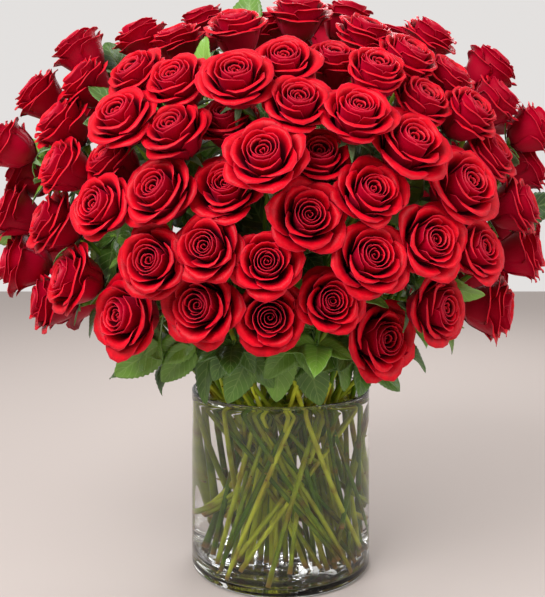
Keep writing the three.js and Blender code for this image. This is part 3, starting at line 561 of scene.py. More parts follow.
def node(tree, kind, inputs=None, **settings):
    """Adds a shader node; inputs maps socket names or numbers to a value or to the output that feeds it."""
    made = tree.nodes.new("ShaderNode" + kind)
    for key, value in settings.items():
        setattr(made, key, value)
    for key, value in (inputs or {}).items():
        if isinstance(value, bpy.types.NodeSocket):
            tree.links.new(value, made.inputs[key])
        else:
            made.inputs[key].default_value = value
    return made


def mix_colours(tree, factor, first, second):
    """A colour between two, by a factor."""
    return node(tree, "Mix", {0: factor, 6: first, 7: second}, data_type="RGBA").outputs[2]


def calculate(tree, operation, *values):
    """One step of arithmetic with one, two or three values."""
    return node(tree, "Math", dict(enumerate(values)), operation=operation).outputs[0]


def spread(tree, value, start, end, low=0.0, high=1.0, curve="LINEAR"):
    """Takes a value between start and end to between low and high, and stops it there."""
    inputs = {0: value, 1: start, 2: end, 3: low, 4: high}
    return node(tree, "MapRange", inputs, interpolation_type=curve).outputs[0]


def noise(tree, spot, scale, detail):
    """Cloudy noise with about this many clouds to the metre."""
    return node(tree, "TexNoise", {"Vector": spot, "Scale": scale, "Detail": detail}).outputs[0]


def stored(tree, name):
    """A number that the mesh holds for each point."""
    return node(tree, "Attribute", attribute_name=name).outputs["Fac"]


def shares(tree):
    """A point's two shares of its way over the surface."""
    surface = node(tree, "UVMap", uv_map="surface").outputs[0]
    return node(tree, "SeparateXYZ", {0: surface}).outputs[:2]


def add_relief(tree, shader, height, strength, distance):
    """Makes a surface look raised by a height times a distance in metres."""
    bump = node(tree, "Bump", {"Height": height, "Strength": strength, "Distance": distance})
    tree.links.new(bump.outputs[0], shader.inputs["Normal"])


across, along = shares(petal_tree)
side, tone, heart = (stored(petal_tree, name) for name in ("side", "tone", "heart"))
spot = node(petal_tree, "TexCoord").outputs["Object"]
# The red is uneven, and painted shade darkens the foot; it reaches further up the petals of the heart
blotches = noise(petal_tree, spot, 1000 / BLOTCH_ACROSS, 2.0)
patchy = spread(petal_tree, blotches, 0.35, 0.65)
face_colour = mix_colours(petal_tree, patchy, linear(PETAL_SHADE), linear(PETAL_FACE))
painted_shade_to = calculate(petal_tree, "MULTIPLY_ADD", heart, 0.45, 0.4)
painted_shade_gone_from = calculate(petal_tree, "MULTIPLY_ADD", heart, 0.14, 0.85)
painted_shade_fade = spread(petal_tree, along, painted_shade_to, painted_shade_gone_from, curve="SMOOTHSTEP")
face_colour = mix_colours(petal_tree, painted_shade_fade, linear(PETAL_PAINTED_SHADE), face_colour)
# The back, a painted highlight along the rim, and each petal's own tone
sided = mix_colours(petal_tree, side, face_colour, linear(PETAL_BACK))
# A painted highlight along the last stretch of each petal, by its rim
rim = spread(petal_tree, along, HIGHLIGHT_FROM, 1.0, 0.0, HIGHLIGHT_STRENGTH)
highlighted = mix_colours(petal_tree, rim, sided, linear(PETAL_PAINTED_HIGHLIGHT))
bright = spread(petal_tree, tone, 0.0, 1.0, 0.8, 1.1)
toned = node(petal_tree, "HueSaturation", {"Value": bright, "Color": highlighted})
petal_tree.links.new(toned.outputs[0], petal_shader.inputs["Base Color"])
# Fine veins along the petal, and the velvet's grain
fanned = calculate(petal_tree, "MULTIPLY", across, VEINS_ACROSS * 2 * np.pi)
veins = calculate(petal_tree, "SINE", fanned)
velvet = noise(petal_tree, spot, 1000 / VELVET_ACROSS, 3.0)
relief = calculate(petal_tree, "MULTIPLY_ADD", veins, 0.35, velvet)
add_relief(petal_tree, petal_shader, relief, 0.3, 0.0003)

# A bloom is as open as its width in the photograph asks, seen against its CAD solid, but one seen from
# aside less than one that faces the eye, and those behind differ. It is a little larger than its solid
# and grows away from its stem, most where it stands aside or behind.
CUP_WIDTH, CUP_FLARE, OPEN_LEAST, OPEN_MOST, OPEN_STRAY = 0.53, 0.42, 0.5, 1.3, 0.08
OPEN_ASIDE, OPEN_FACING, OPEN_BEHIND = 0.68, 0.8, (0.7, 1.15)
GROWTH_FACING, GROWTH_ASIDE, GROWTH_BEHIND = 1.14, 1.3, 1.36
POINTED_BEHIND = 0.5
seen_radius = width * depth / FOCAL_PIXELS / 2
open_shares = (seen_radius / head_radius[:front_heads] - CUP_WIDTH) / CUP_FLARE
open_shares = np.concatenate([open_shares, shape_numbers.uniform(*OPEN_BEHIND, BEHIND_HEADS)])
open_shares = np.clip(open_shares, OPEN_LEAST, OPEN_MOST)
facing = dot(axis, unit(EYE - place)).clip(0, 1)
open_at_most = OPEN_ASIDE + OPEN_FACING * facing
open_at_most[front_heads:] = OPEN_MOST
open_shares = np.minimum(open_shares, open_at_most)
growth = GROWTH_ASIDE - (GROWTH_ASIDE - GROWTH_FACING) * facing ** 2
growth[front_heads:] = GROWTH_BEHIND
pointed = smooth(facing)
pointed[front_heads:] = POINTED_BEHIND
bloom_radius = head_radius * growth
bloom_middle = place + axis * (HEAD_BOTTOM * (bloom_radius - head_radius))[:, None]

# How far up each petal the painted shade at its foot reaches: furthest on the petals of the heart
petal_hearts = 1 - smooth(((np.arange(PETALS_EACH) + 0.5) / PETALS_EACH - 0.25) / 0.25)
for order, leader in enumerate(leaders, start=1):
    parts = []
    for head in bunch_of(leader):
        open_share = open_shares[head] + shape_numbers.uniform(-OPEN_STRAY, OPEN_STRAY)
        bloom = petal_grid(open_share, pointed[head], shape_numbers) * bloom_radius[head]
        surface = shell(bloom @ head_frame(head) + bloom_middle[head], PETAL_THICKNESS)
        tones = 0.5 * shape_numbers.uniform(0, 1, PETALS_EACH) + shape_numbers.uniform(0, 0.5)
        each = len(surface[0]) // PETALS_EACH
        parts.append((*surface, np.repeat(tones, each), np.repeat(petal_hearts, each)))
    points, quads, triangles, places, sides, tones, hearts = gather(parts)
    name = f"roses_{order:02d}"
    mesh = add_piece(name + "_petals", "petals", petal_red, name, points, quads)
    add_surface_data(mesh, places, side=sides, tone=tones, heart=hearts)

# ---------------------------------------------------------------- the stems
# Cut rose stems, green and woody, about 5 mm thick, with joints where leaves grew and stubs of thorns.
# They fill the vase's mouth and cross below it, as some turn left round the axis and the others right,
# and stand on or a little above the glass. The first stem of each bunch is the CAD model's own.

# The CAD stem's radius, the gap at both its ends, how far it leans on an earlier one, and where on that
STEM_RADIUS, STEM_GAP, STEM_LEAN, STEM_LEANS = 2.9, 0.35, 2.5, (0.06, 0.14, 0.22, 0.3)
# Places tried in the mouth, their height over the rim, feet tried, and how near stems may pass
STEM_MOUTHS, STEM_ABOVE, STEM_TRIES, STEM_PASSING = 12, 14.0, 400, 5.6
# How far a stem turns round the axis down to its foot, and how far out that lies
FOOT_TWIST, FOOT_SPREAD, FOOT_LEAST, FOOT_RANGE, FOOT_ASIDE, FOOT_FROM_GLASS = 1.8, 1.3, 0.7, 0.5, 12.0, 5.0
# Bends that pass other heads: how far aside, at what shares of the way, in how many directions, and the
# room to spare
BEND_ASIDE, BEND_SHARES, BEND_TURNS, BEND_SPARE = np.arange(6.0, 60.0, 4.0), (0.12, 0.2, 0.35, 0.5), 16, 0.4


def segment_gap(a, b, c, d):
    """Shortest distance between the segments a-b and c-d: their closest points are found in turn."""
    ab, cd, ca = b - a, d - c, a - c
    p, q, r = dot(ab, ab), dot(ab, cd), dot(cd, cd)
    crossing = p * r - q * q
    s = np.clip((q * dot(cd, ca) - r * dot(ab, ca)) / np.where(crossing > 1e-9, crossing, np.inf), 0, 1)
    t = np.clip((dot(cd, ca) + s * q) / r, 0, 1)
    s = np.clip((t * q - dot(ab, ca)) / p, 0, 1)
    return np.linalg.norm(a + s[..., None] * ab - c - t[..., None] * cd, axis=-1)


def point_gap(point, a, b):
    """Distance of points from the segment a-b."""
    along = b - a
    share = np.clip(dot(point - a, along) / dot(along, along), 0, 1)
    return np.linalg.norm(point - a - share[..., None] * along, axis=-1)


stem_top = place - axis * (HEAD_BOTTOM * head_radius + STEM_GAP)[:, None]
bound = np.array([(a, b) for a in range(len(place)) for b in mates[a]])
bridges = (place[bound[:, 0]] + place[bound[:, 1]]) / 2


def room_beside(a, b, own):
    """Room that a straight stretch leaves beside all heads but its own and beside the petals between them."""
    a, b = np.broadcast_arrays(a, b)
    others = np.arange(len(place)) != own
    to_heads = point_gap(place[others], a[..., None, :], b[..., None, :]) - head_radius[others]
    to_bridges = point_gap(bridges, a[..., None, :], b[..., None, :]) - 2 * BRIDGE
    return np.minimum(to_heads.min(-1), to_bridges.min(-1)) - STEM_RADIUS - BEND_SPARE


def way_down(head, end):
    """The way from under a head to a lower point: straight, or with one bend past the other heads."""
    top = stem_top[head]
    room, way = room_beside(top, end, head), [top]
    along = unit(end - top)
    side = unit(np.cross(along, [0, 0, 1]))
    angle = 2 * np.pi * np.arange(BEND_TURNS) / BEND_TURNS
    around = np.cos(angle)[:, None] * side + np.sin(angle)[:, None] * np.cross(along, side)
    for aside in BEND_ASIDE:
        if room >= 0:
            break
        knees = top + np.array(BEND_SHARES)[:, None, None] * (end - top) + aside * around
        knees = knees.reshape(-1, 3)
        rooms = np.minimum(room_beside(top, knees, head), room_beside(knees, end, head))
        if rooms.max() > room:
            room, way = rooms.max(), [top, knees[rooms.argmax()]]
    return way


def around_axis(turn, out, high):
    """Points by their angle round the axis, their distance from it and their height."""
    return np.stack([out * np.cos(turn), out * np.sin(turn), high + 0 * turn], -1)


def way_out(head):
    """A head's angle round the axis, and its distance from it."""
    return np.arctan2(place[head][1], place[head][0]), np.hypot(*place[head][:2])


# Each main stem goes through the mouth near where its head asks, leaning on an earlier stem. Of many
# feet the one is taken with which it runs into the fewest of the others
inside = VASE_RADIUS - VASE_WALL - FOOT_FROM_GLASS
main_stems = []
for head in leaders:
    turn, far_out = way_out(head)
    wished = around_axis(turn, inside * min(far_out / DOME_HALF_WIDTH, 1), VASE_HEIGHT + STEM_ABOVE)
    leaning = []
    for stem, share in itertools.product(main_stems, STEM_LEANS):
        point = stem["mouth"] + share * (stem["way"][-1] - stem["mouth"])
        beside = unit(np.cross(stem["way"][-1] - stem["mouth"], place[head] - point))
        point = point + STEM_LEAN * beside
        if np.hypot(*point[:2]) < inside:
            leaning.append(point)
    leaning.sort(key=lambda point: np.linalg.norm(point - wished))
    mouths = np.array(leaning[:STEM_MOUTHS] or [wished])
    tries = np.array(list(itertools.islice(numbers, 3 * STEM_TRIES))).reshape(-1, 3)
    mouth = mouths[np.arange(STEM_TRIES) % len(mouths)]
    hand = 1 - 2 * (len(main_stems) % 2)
    foot_turn = np.arctan2(mouth[:, 1], mouth[:, 0]) + hand * (FOOT_TWIST + FOOT_SPREAD * (tries[:, 0] - 0.5))
    wide = np.hypot(mouth[:, 0], mouth[:, 1]) * (FOOT_LEAST + FOOT_RANGE * tries[:, 1])
    wide = np.minimum(inside - STEM_RADIUS, wide + FOOT_ASIDE * tries[:, 2])
    foot = around_axis(foot_turn, wide, VASE_FLOOR + STEM_GAP)
    cost = 0.01 * np.linalg.norm(mouth - wished, axis=-1)
    if main_stems:
        tops, others, feet = (
            np.array([stem[key] for stem in main_stems]) for key in ("top", "mouth", "foot"))
        own_stretches = ((stem_top[head] + 0 * mouth, mouth), (mouth, foot))
        for (a, b), (c, d) in itertools.product(own_stretches, ((tops, others), (others, feet))):
            gaps = segment_gap(a[:, None], b[:, None], c[None], d[None])
            cost = cost + (gaps < STEM_PASSING).sum(1)
    best = cost.argmin()
    main_stems.append({
        "head": head, "top": stem_top[head], "mouth": mouth[best], "foot": foot[best],
        "way": way_down(head, mouth[best]),
    })


# The real stem's thickness, its joints, the hip under its bloom, its cut end and its thorns
STEM_THICK, STEM_SIDES, STEM_STATIONS = 4.9, 8, 56
JOINT_SPACING, JOINT_SWELL, JOINT_LENGTH, KNOT_LENGTH = 62.0, 0.16, 5.0, 4.0
HIP_RADIUS, HIP_LENGTH, CUT_LENGTH = 4.6, 9.6, 6.0
THORNS_EACH, THORN_RADII = 4, np.array([1.5, 0.8, 0.12])
# How far over the mouth a stem bends, as a share of its length below it, and how gently
BEND_ABOVE, BEND_STEPS, FINE_STEPS = 0.08, 14, 5
# The other heads of a bunch: how far out a head has its stem at the mouth's edge, how far that strays
# round, how far the stem then turns, left or right, and how far out and how high its foot may be
MOUTH_FILLED_FROM, MOUTH_STRAY = 215.0, 0.25
CROSSING, SIDE_FOOT_LEAST, FOOT_LIFTED = (1.0, 3.1), 0.35, 45.0

ways = []
for stem in main_stems:
    bend = stem["mouth"] + BEND_ABOVE * (stem["mouth"] - stem["foot"])
    ways.append((stem["head"], np.array([*stem["way"], bend, stem["foot"]])))
    for head in bunch_of(stem["head"])[1:]:
        turn, far_out = way_out(head)
        turn = turn + shape_numbers.uniform(-MOUTH_STRAY, MOUTH_STRAY)
        mouth = around_axis(turn, inside * min(far_out / MOUTH_FILLED_FROM, 1), VASE_HEIGHT + STEM_ABOVE)
        turn = turn + (1 - 2 * (head % 2)) * shape_numbers.uniform(*CROSSING)
        wide = (inside - STEM_RADIUS) * shape_numbers.uniform(SIDE_FOOT_LEAST, 1)
        foot = around_axis(turn, wide, stem["foot"][2] + FOOT_LIFTED * shape_numbers.uniform(0, 1) ** 2)
        bend = mouth + BEND_ABOVE * (mouth - foot)
        ways.append((head, np.array([*way_down(head, mouth), bend, foot])))


def length_along(points):
    """How far each point of a line lies from its start, along the line."""
    return np.concatenate([[0], np.cumsum(np.linalg.norm(np.diff(points, axis=0), axis=1))])


def smooth_way(points, stations):
    """Points evenly spaced along a way of straight stretches, whose bends are rounded by a moving mean."""
    length = length_along(points)
    fine = np.linspace(0, length[-1], FINE_STEPS * stations)
    line = np.stack([np.interp(fine, length, points[:, k]) for k in range(3)], -1)
    before = line[:1] * 2 - line[BEND_STEPS:0:-1]
    after = line[-1:] * 2 - line[-2:-BEND_STEPS - 2:-1]
    padded = np.concatenate([before, line, after])
    share = np.ones(2 * BEND_STEPS + 1) / (2 * BEND_STEPS + 1)
    line = np.stack([np.convolve(padded[:, k], share, "valid") for k in range(3)], -1)
    return line[np.linspace(0, len(line) - 1, stations).round().astype(int)], length[-1]


def square_to(ahead):
    """A direction square to another, by the cross product with a slanting one."""
    return unit(np.cross(ahead, [0.3, 1.0, 0.2]))


def tube(line, radius, sides):
    """A closed tube along points (stations, 3) with a radius for each station: rings of points and faces.

    Each ring is a circle square to the way: middle + radius (cos a side + sin a other)."""
    ahead = unit(np.gradient(line, axis=0))
    side = square_to(ahead)
    other = np.cross(ahead, side)
    angle = 2 * np.pi * np.arange(sides) / sides
    radius = np.broadcast_to(radius, len(line))[:, None, None]
    angle = angle[None, :, None]
    rings = line[:, None] + radius * (np.cos(angle) * side[:, None] + np.sin(angle) * other[:, None])
    count = len(line) * sides
    points = np.concatenate([rings.reshape(-1, 3), line[:1], line[-1:]])
    here = np.arange(sides)
    there = (here + 1) % sides
    first = np.stack([there, here, np.full(sides, count)], -1)
    last = np.stack([here, there, np.full(sides, count + 1)], -1) + [count - sides, count - sides, 0]
    return points, grid_faces(len(line), sides, closed=True), np.concatenate([first, last])


stem_parts = []
stem_lines = {}
for head, way in ways:
    line, length = smooth_way(way, STEM_STATIONS)
    stem_lines[head] = line
    far = np.linspace(0, length, STEM_STATIONS)
    joint = (far + shape_numbers.uniform(0, JOINT_SPACING)) % JOINT_SPACING - JOINT_SPACING / 2
    swell = 1 + JOINT_SWELL * np.exp(-(joint / JOINT_LENGTH) ** 2)
    hip = smooth(1 - far / HIP_LENGTH)
    radius = STEM_THICK / 2 * shape_numbers.uniform(0.88, 1.12) * swell
    radius = radius * (1 - hip) + HIP_RADIUS * hip
    points, quads, triangles = tube(line, radius, STEM_SIDES)
    tone = np.full(len(points), shape_numbers.uniform(0, 1))
    cut = np.repeat(np.clip((far - length + CUT_LENGTH) / CUT_LENGTH, 0, 1), STEM_SIDES)
    knot = np.repeat(np.exp(-(joint / KNOT_LENGTH) ** 2), STEM_SIDES)
    stem_parts.append((points, quads, triangles, tone, np.append(cut, [0, 1]), np.append(knot, [0, 0])))
    for station in shape_numbers.integers(6, STEM_STATIONS - 8, THORNS_EACH):
        ahead = unit(line[station + 1] - line[station])
        away = unit(np.cross(ahead, shape_numbers.normal(size=3)))
        root = line[station] + away * radius[station] * 0.8
        thorn = np.array([root, root + away * 1.6 - ahead * 0.5, root + away * 3.2 - ahead * 2.0])
        points, quads, triangles = tube(thorn, THORN_RADII, 5)
        values = [np.full(len(points), value) for value in (0.3, 0.0, 1.0)]
        stem_parts.append((points, quads, triangles, *values))

# Rose stem: green bark with a waxy skin, yellower on some than on others, reddish brown in stretches and
# at joints and thorns, and pale brown where it was cut. Its greens are brightened with painted light for the
# light that glass and water keep from the stems; over the water it takes mostly the leaves' darker green.
stem_green, stem_tree, stem_shader = new_material(
    "green_rose_stem", Roughness=0.42, IOR=1.45, Specular_IOR_Level=0.15,
)
# The first two greens are the stems' own, made brighter with painted light; the third is the darker green
# over the water
STEM_YELLOW_PAINTED_LIT, STEM_GREEN_PAINTED_LIT, STEM_RED, STEM_CUT = "#DCE444", "#587E10", "#8A3E0C", "#B88848"
STEM_ABOVE_WATER, ABOVE_FROM, ABOVE_TO = "#4A7424", 0.2, 0.27
tone, cut, knot = (stored(stem_tree, name) for name in ("tone", "cut", "knot"))
spot = node(stem_tree, "TexCoord").outputs["Object"]
# From yellow-green to green, by stem and in patches, all brightened with painted light, with reddish
# stretches
shade = calculate(stem_tree, "MULTIPLY_ADD", noise(stem_tree, spot, 28.0, 3.0), 1.1, tone)
shade = spread(stem_tree, shade, 0.6, 1.4)
colour = mix_colours(stem_tree, shade, linear(STEM_YELLOW_PAINTED_LIT), linear(STEM_GREEN_PAINTED_LIT))
reddish = spread(stem_tree, noise(stem_tree, spot, 17.0, 2.0), 0.55, 0.75, 0.0, 0.75)
colour = mix_colours(stem_tree, reddish, colour, linear(STEM_RED))
# Above the water mostly without the painted light, at the joints, and at the cut end
height = node(stem_tree, "SeparateXYZ", {0: spot}).outputs[2]
above_water_less_painted_light = spread(stem_tree, height, ABOVE_FROM, ABOVE_TO, 0.0, 0.75)
colour = mix_colours(stem_tree, above_water_less_painted_light, colour, linear(STEM_ABOVE_WATER))
knotty = calculate(stem_tree, "MULTIPLY", knot, 0.55)
colour = mix_colours(stem_tree, knotty, colour, linear(STEM_RED))
colour = mix_colours(stem_tree, cut, colour, linear(STEM_CUT))
stem_tree.links.new(colour, stem_shader.inputs["Base Color"])
add_relief(stem_tree, stem_shader, noise(stem_tree, spot, 420.0, 4.0), 0.3, 0.0006)

points, quads, triangles, tone, cut, knot = gather(stem_parts)
mesh = add_piece("rose_stems", "greenery", stem_green, "stems_and_leaves", points, quads, triangles)
add_surface_data(mesh, np.zeros((len(points), 2)), tone=tone, cut=cut, knot=knot)

# ---------------------------------------------------------------- the sepals
# Under each bloom sits the green hip, a small urn with five pointed sepals that have folded back from
# the open petals. They have grown together with the stem.

SEPALS_EACH, SEPAL_ACROSS, SEPAL_ALONG = 5, 3, 7
SEPAL_LENGTH, SEPAL_WIDTH, SEPAL_THICKNESS = 23.0, 6.5, 0.7


def sepal_grid(reflex, random):
    """Sepal skins (sepals, along, across, 3) in millimetres from the top of the hip, its axis along Z.

    Along a sepal, s from 0 to 1, it runs outwards as s^0.9 and its height is a parabola that lies
    against the petals when reflex is 0 and hangs down when it is 1; its width falls as (1 - s)^0.8."""
    s = np.linspace(0, 1, SEPAL_ALONG)[None, :, None]
    u = np.linspace(-1, 1, SEPAL_ACROSS)[None, None, :]
    stray = random.uniform(-1, 1, (3, SEPALS_EACH, 1, 1))
    turn = 2 * np.pi * (np.arange(SEPALS_EACH)[:, None, None] + 0.12 * stray[0]) / SEPALS_EACH
    length = SEPAL_LENGTH * (1 + 0.18 * stray[1])
    bend = reflex + 0.25 * stray[2]
    out = 2.5 + 0.85 * length * s ** 0.9
    high = length * (0.32 * s * (1 - bend) - 0.5 * bend * s ** 2) + 0.9 * np.abs(u)
    across = u * SEPAL_WIDTH / 2 * (1 - s) ** 0.8 * (1 + 0.35 * np.sin(np.pi * s))
    x = out * np.cos(turn) - across * np.sin(turn)
    y = out * np.sin(turn) + across * np.cos(turn)
    return np.stack([x, y, high + 0 * x], -1)


# The sepals' place as a share of the way to the head's underside, and their tone of the leaves' green
SEPAL_HEIGHT, SEPAL_TONE = 0.97, 0.75
sepal_parts = []
for head in range(len(place)):
    sepals = sepal_grid(shape_numbers.uniform(0.0, 1.0), shape_numbers)
    middle = place[head] - axis[head] * HEAD_BOTTOM * head_radius[head] * SEPAL_HEIGHT
    surface = shell(sepals @ head_frame(head) + middle, SEPAL_THICKNESS)
    sepal_parts.append((*surface, np.full(len(surface[0]), SEPAL_TONE)))

# ---------------------------------------------------------------- the leaves
# Rose leaves: ovate leaflets with sawn edges, folded a little along the rib and drooping, glossy dark
# green above and paler below. Some hang over the vase's rim as a collar and some stand between the
# blooms; each runs back by its stalk to a stem. Smaller leaflets in threes grow on the stems inside.

LEAF_LENGTH, LEAF_WIDTH, LEAF_FOLD, LEAF_DROOP = 54.0, 37.0, 0.28, 0.22
# Room that a leaf keeps to heads, stems, other leaves, the vase's wall, and over its rim
LEAF_TO_HEAD, LEAF_TO_STEM, LEAF_TO_LEAF, LEAF_TO_GLASS, LEAF_OVER_RIM = 1.2, 3.6, 6.0, 2.0, 5.0
# Shares of a leaf's length, and its half width there
LEAF_STATIONS = np.array([(0.02, 0.06), (0.34, 0.5), (0.7, 0.38), (1.0, 0.0)])
# A stalk's least length, its greatest with the cost of its bend, how straight it has to leave the leaf,
# how flat it has to lie, and the steps along a stem and the room to heads with which a hold is sought
STALK_SHORTEST, STALK_LONGEST, STALK_BENDING, STALK_STRAIGHT, STALK_FLAT = 8.0, 80.0, 0.6, 0.3, 0.75
STALK_STEP, STALK_STEPS, STALK_TO_HEAD = 0.04, 24, 2
# The least share of its full size that a leaf has, and how much wider or longer it may be
SIZE_LEAST, WIDTH_RANGE, LENGTH_RANGE = 0.85, 0.3, 0.25
# How far a leaf slides, and how far it twists, in search of room
SLIDES_OUT, SLIDES_IN = (0, 4, 8, 12, 16, -4, 20, 24), 3.0 * np.arange(30)
TWISTS = (0, 0.4, -0.4, 0.8, -0.8)
# The leaves behind: where root and tip lie outwards and over the ground, as least value and range
COLLAR_BEHIND, COLLAR_MARGIN, COLLAR_STRAY = 8, 0.12, 0.3
ROOT_OUT, ROOT_HIGH, TIP_OUT, TIP_HIGH = (116, 14), (258, 20), (134, 26), (206, 18)
AMONG_BEHIND, AMONG_MARGIN, AMONG_OUT, AMONG_LOWEST, AMONG_RANGE, AMONG_STEP = 5, 0.2, 246, 330, 190, 0.618

# Leaves of the collar over the rim: pixels of root and tip, and how far in front of the axis the root
# lies; the tip lies a little further in front
COLLAR_FORWARD = 6
COLLAR_SEEN = (
    (212, 342, 196, 403, 88), (226, 350, 229, 393, 106), (252, 356, 232, 401, 113),
    (280, 345, 276, 404, 120), (308, 358, 320, 407, 115), (318, 330, 313, 369, 128),
    (335, 348, 352, 389, 108), (362, 362, 404, 386, 80), (196, 345, 156, 378, 74),
    (170, 352, 106, 368, 58), (240, 340, 214, 376, 128), (296, 338, 262, 376, 132),
    (352, 338, 386, 372, 112), (438, 322, 458, 350, 70), (498, 300, 524, 324, 40),
    (104, 308, 84, 334, 60), (150, 332, 122, 372, 104), (398, 345, 430, 366, 60),
)
# Leaves among the heads: pixel of a point near the root, and the leaf's angle in the picture in degrees;
# how far inside the dome that point lies, and at what share of the leaf's length
AMONG_SUNK, AMONG_SHARE = 6, 0.3
AMONG_SEEN = (
    (118, 66, 120), (247, 18, 85), (203, 72, 100), (118, 108, 130), (325, 52, 70), (264, 128, 95),
    (412, 122, 60), (498, 152, 30), (532, 208, 10), (50, 160, 150), (112, 252, 250), (118, 262, 300),
    (405, 196, 40), (356, 172, 80), (262, 222, 120), (450, 286, 330), (14, 236, 190),
)

high_ends = np.array([stem["way"][-1] for stem in main_stems])
low_ends = np.array([stem["mouth"] for stem in main_stems])
leaves = []
leaf_marks = []


def leaf_frame(leaf):
    """The directions across a leaf and out of its face."""
    across = unit(np.cross(leaf["along"], leaf["up"]))
    return across, unit(np.cross(across, leaf["along"]))


def leaf_points(leaf, share, half):
    """Points of the folded, drooping blade at shares of its length and of its width."""
    across, face = leaf_frame(leaf)
    share, half = np.asarray(share, float)[..., None], np.asarray(half, float)[..., None]
    lifted = np.abs(half) * leaf["width"] * LEAF_FOLD - LEAF_DROOP * leaf["length"] * share ** 2
    aside = across * leaf["width"] * half
    return leaf["root"] + leaf["along"] * leaf["length"] * share + aside + face * lifted


def feelers(leaf):
    """Points spread over the blade, to feel what it would touch."""
    share, half = LEAF_STATIONS.T
    rows = leaf_points(leaf, share[:, None] + np.zeros(5), half[:, None] * np.linspace(-1, 1, 5))
    return np.concatenate([rows.reshape(-1, 3), ((rows[1:] + rows[:-1]) / 2).reshape(-1, 3)])


def head_room(points):
    """Room between points and the nearest head."""
    return (np.linalg.norm(points[:, None] - place, axis=-1) - head_radius).min()


def meets_glass(points):
    """Whether any of the points that are low enough lies in the vase or by its wall."""
    low = points[points[:, 2] < VASE_HEIGHT + LEAF_OVER_RIM]
    return (np.hypot(low[:, 0], low[:, 1]) < VASE_RADIUS + LEAF_TO_GLASS).any()


def is_clear(points):
    """Whether points are clear of the heads, the stems, the leaves placed earlier and the glass."""
    if head_room(points) < LEAF_TO_HEAD or meets_glass(points):
        return False
    if (point_gap(points[:, None], high_ends, low_ends) < LEAF_TO_STEM).any():
        return False
    to_leaves = (np.linalg.norm(points[:, None] - marks, axis=-1).min() for marks in leaf_marks)
    return all(gap >= LEAF_TO_LEAF for gap in to_leaves)


def hold_of(leaf):
    """Where a leaf's stalk meets a stem: near, over the rim, past the heads and without a sharp bend."""
    share = STALK_STEP * np.arange(1, STALK_STEPS)
    hold = low_ends[:, None] + share[None, :, None] * (high_ends - low_ends)[:, None]
    hold = hold.reshape(-1, 3)
    length = np.linalg.norm(hold - leaf["root"], axis=-1)
    way = (hold - leaf["root"]) / length[:, None]
    straight = -way @ leaf["along"]
    cost = length * (1 + STALK_BENDING - STALK_BENDING * straight)
    bent = (straight < STALK_STRAIGHT) | (np.abs(way @ leaf_frame(leaf)[1]) > STALK_FLAT)
    sunken = np.minimum(hold[:, 2], (hold[:, 2] + leaf["root"][2]) / 2) < VASE_HEIGHT + LEAF_OVER_RIM
    fits = np.flatnonzero((cost < STALK_LONGEST) & (length > STALK_SHORTEST) & ~bent & ~sunken)
    for index in fits[np.argsort(cost[fits], kind="stable")]:
        gaps = segment_gap(leaf["root"], hold[index], place, place + axis)
        if (gaps > head_radius + STALK_TO_HEAD).all():
            return hold[index]
    return None


def turned_about(vector, about, angle):
    """A vector v turned about a unit axis a: v cos angle + (a x v) sin angle + a (a . v) (1 - cos angle)."""
    return (
        vector * np.cos(angle) + np.cross(about, vector) * np.sin(angle)
        + about * dot(about, vector) * (1 - np.cos(angle))
    )


def settle(root, along, up, length, width, slide_way, slides):
    """A leaf slides and twists until it is clear of everything and has a stem to grow on, or is left out."""
    for slide, twist in itertools.product(slides, TWISTS):
        leaf = {
            "root": root + slide_way * slide, "along": along, "up": turned_about(up, along, twist),
            "length": length, "width": width,
        }
        marks = feelers(leaf)
        if is_clear(marks):
            leaf["hold"] = hold_of(leaf)
            if leaf["hold"] is not None:
                leaves.append(leaf)
                leaf_marks.append(marks)
                return


def settle_collar(root, tip, outward):
    """One leaf of the collar, from its root to its tip."""
    length = np.linalg.norm(tip - root)
    width = LEAF_WIDTH * (SIZE_LEAST + WIDTH_RANGE * next(numbers))
    settle(root, (tip - root) / length, outward + [0, 0, 0.5], length, width, outward, SLIDES_OUT)


for x0, y0, x1, y1, forward in COLLAR_SEEN:
    root = seen_at(x0, y0, -EYE[1] - forward)
    tip = seen_at(x1, y1, -EYE[1] - forward - COLLAR_FORWARD)
    settle_collar(root, tip, unit(root * [1, 1, 0]))
for i in range(COLLAR_BEHIND):
    turn = COLLAR_MARGIN + (np.pi - 2 * COLLAR_MARGIN) * (i + COLLAR_STRAY * next(numbers)) / COLLAR_BEHIND
    outward = around_axis(turn, 1, 0)
    root_out, root_high, tip_out, tip_high = (
        least + spread * next(numbers) for least, spread in (ROOT_OUT, ROOT_HIGH, TIP_OUT, TIP_HIGH))
    settle_collar(outward * root_out + [0, 0, root_high], outward * tip_out + [0, 0, tip_high], outward)
for column, row, degrees in AMONG_SEEN:
    angle = np.radians(degrees)
    along = unit(np.array([np.cos(angle), 0.1, np.sin(angle)]))
    inward = unit(sight_line(column, row))
    length = LEAF_LENGTH * (SIZE_LEAST + LENGTH_RANGE * next(numbers))
    root = seen_at(column, row, dome_distance(column, row) + AMONG_SUNK) - AMONG_SHARE * length * along
    settle(root, along, -inward, length, LEAF_WIDTH, inward, SLIDES_IN)
for i in range(AMONG_BEHIND):
    turn = AMONG_MARGIN + (np.pi - 2 * AMONG_MARGIN) * i / (AMONG_BEHIND - 1)
    outward = around_axis(turn, 1, 0)
    root = outward * AMONG_OUT + [0, 0, AMONG_LOWEST + AMONG_RANGE * (i * AMONG_STEP % 1)]
    along = unit(np.array([-outward[1], outward[0], 2 * next(numbers) - 0.6]))
    settle(root, along, outward, LEAF_LENGTH, LEAF_WIDTH, -outward, SLIDES_IN)

# Teeth on each edge, the blade's thickness, how deep its teeth and how high its waves are
TEETH, BLADE_THICKNESS, TOOTH, BLADE_WAVE = 11, 0.6, 0.075, 1.3
STALK_RADIUS, STALK_END, STALK_SAG, STALK_SIDE = 0.9, 0.02, 3.0, 0.6
# The pair beside a leaf: how large, how far back on its stalk, and how deep it may be among the petals
SIDE_SIZE, SIDE_BACK, SIDE_SUNK = 0.8, 3.0, -4.0


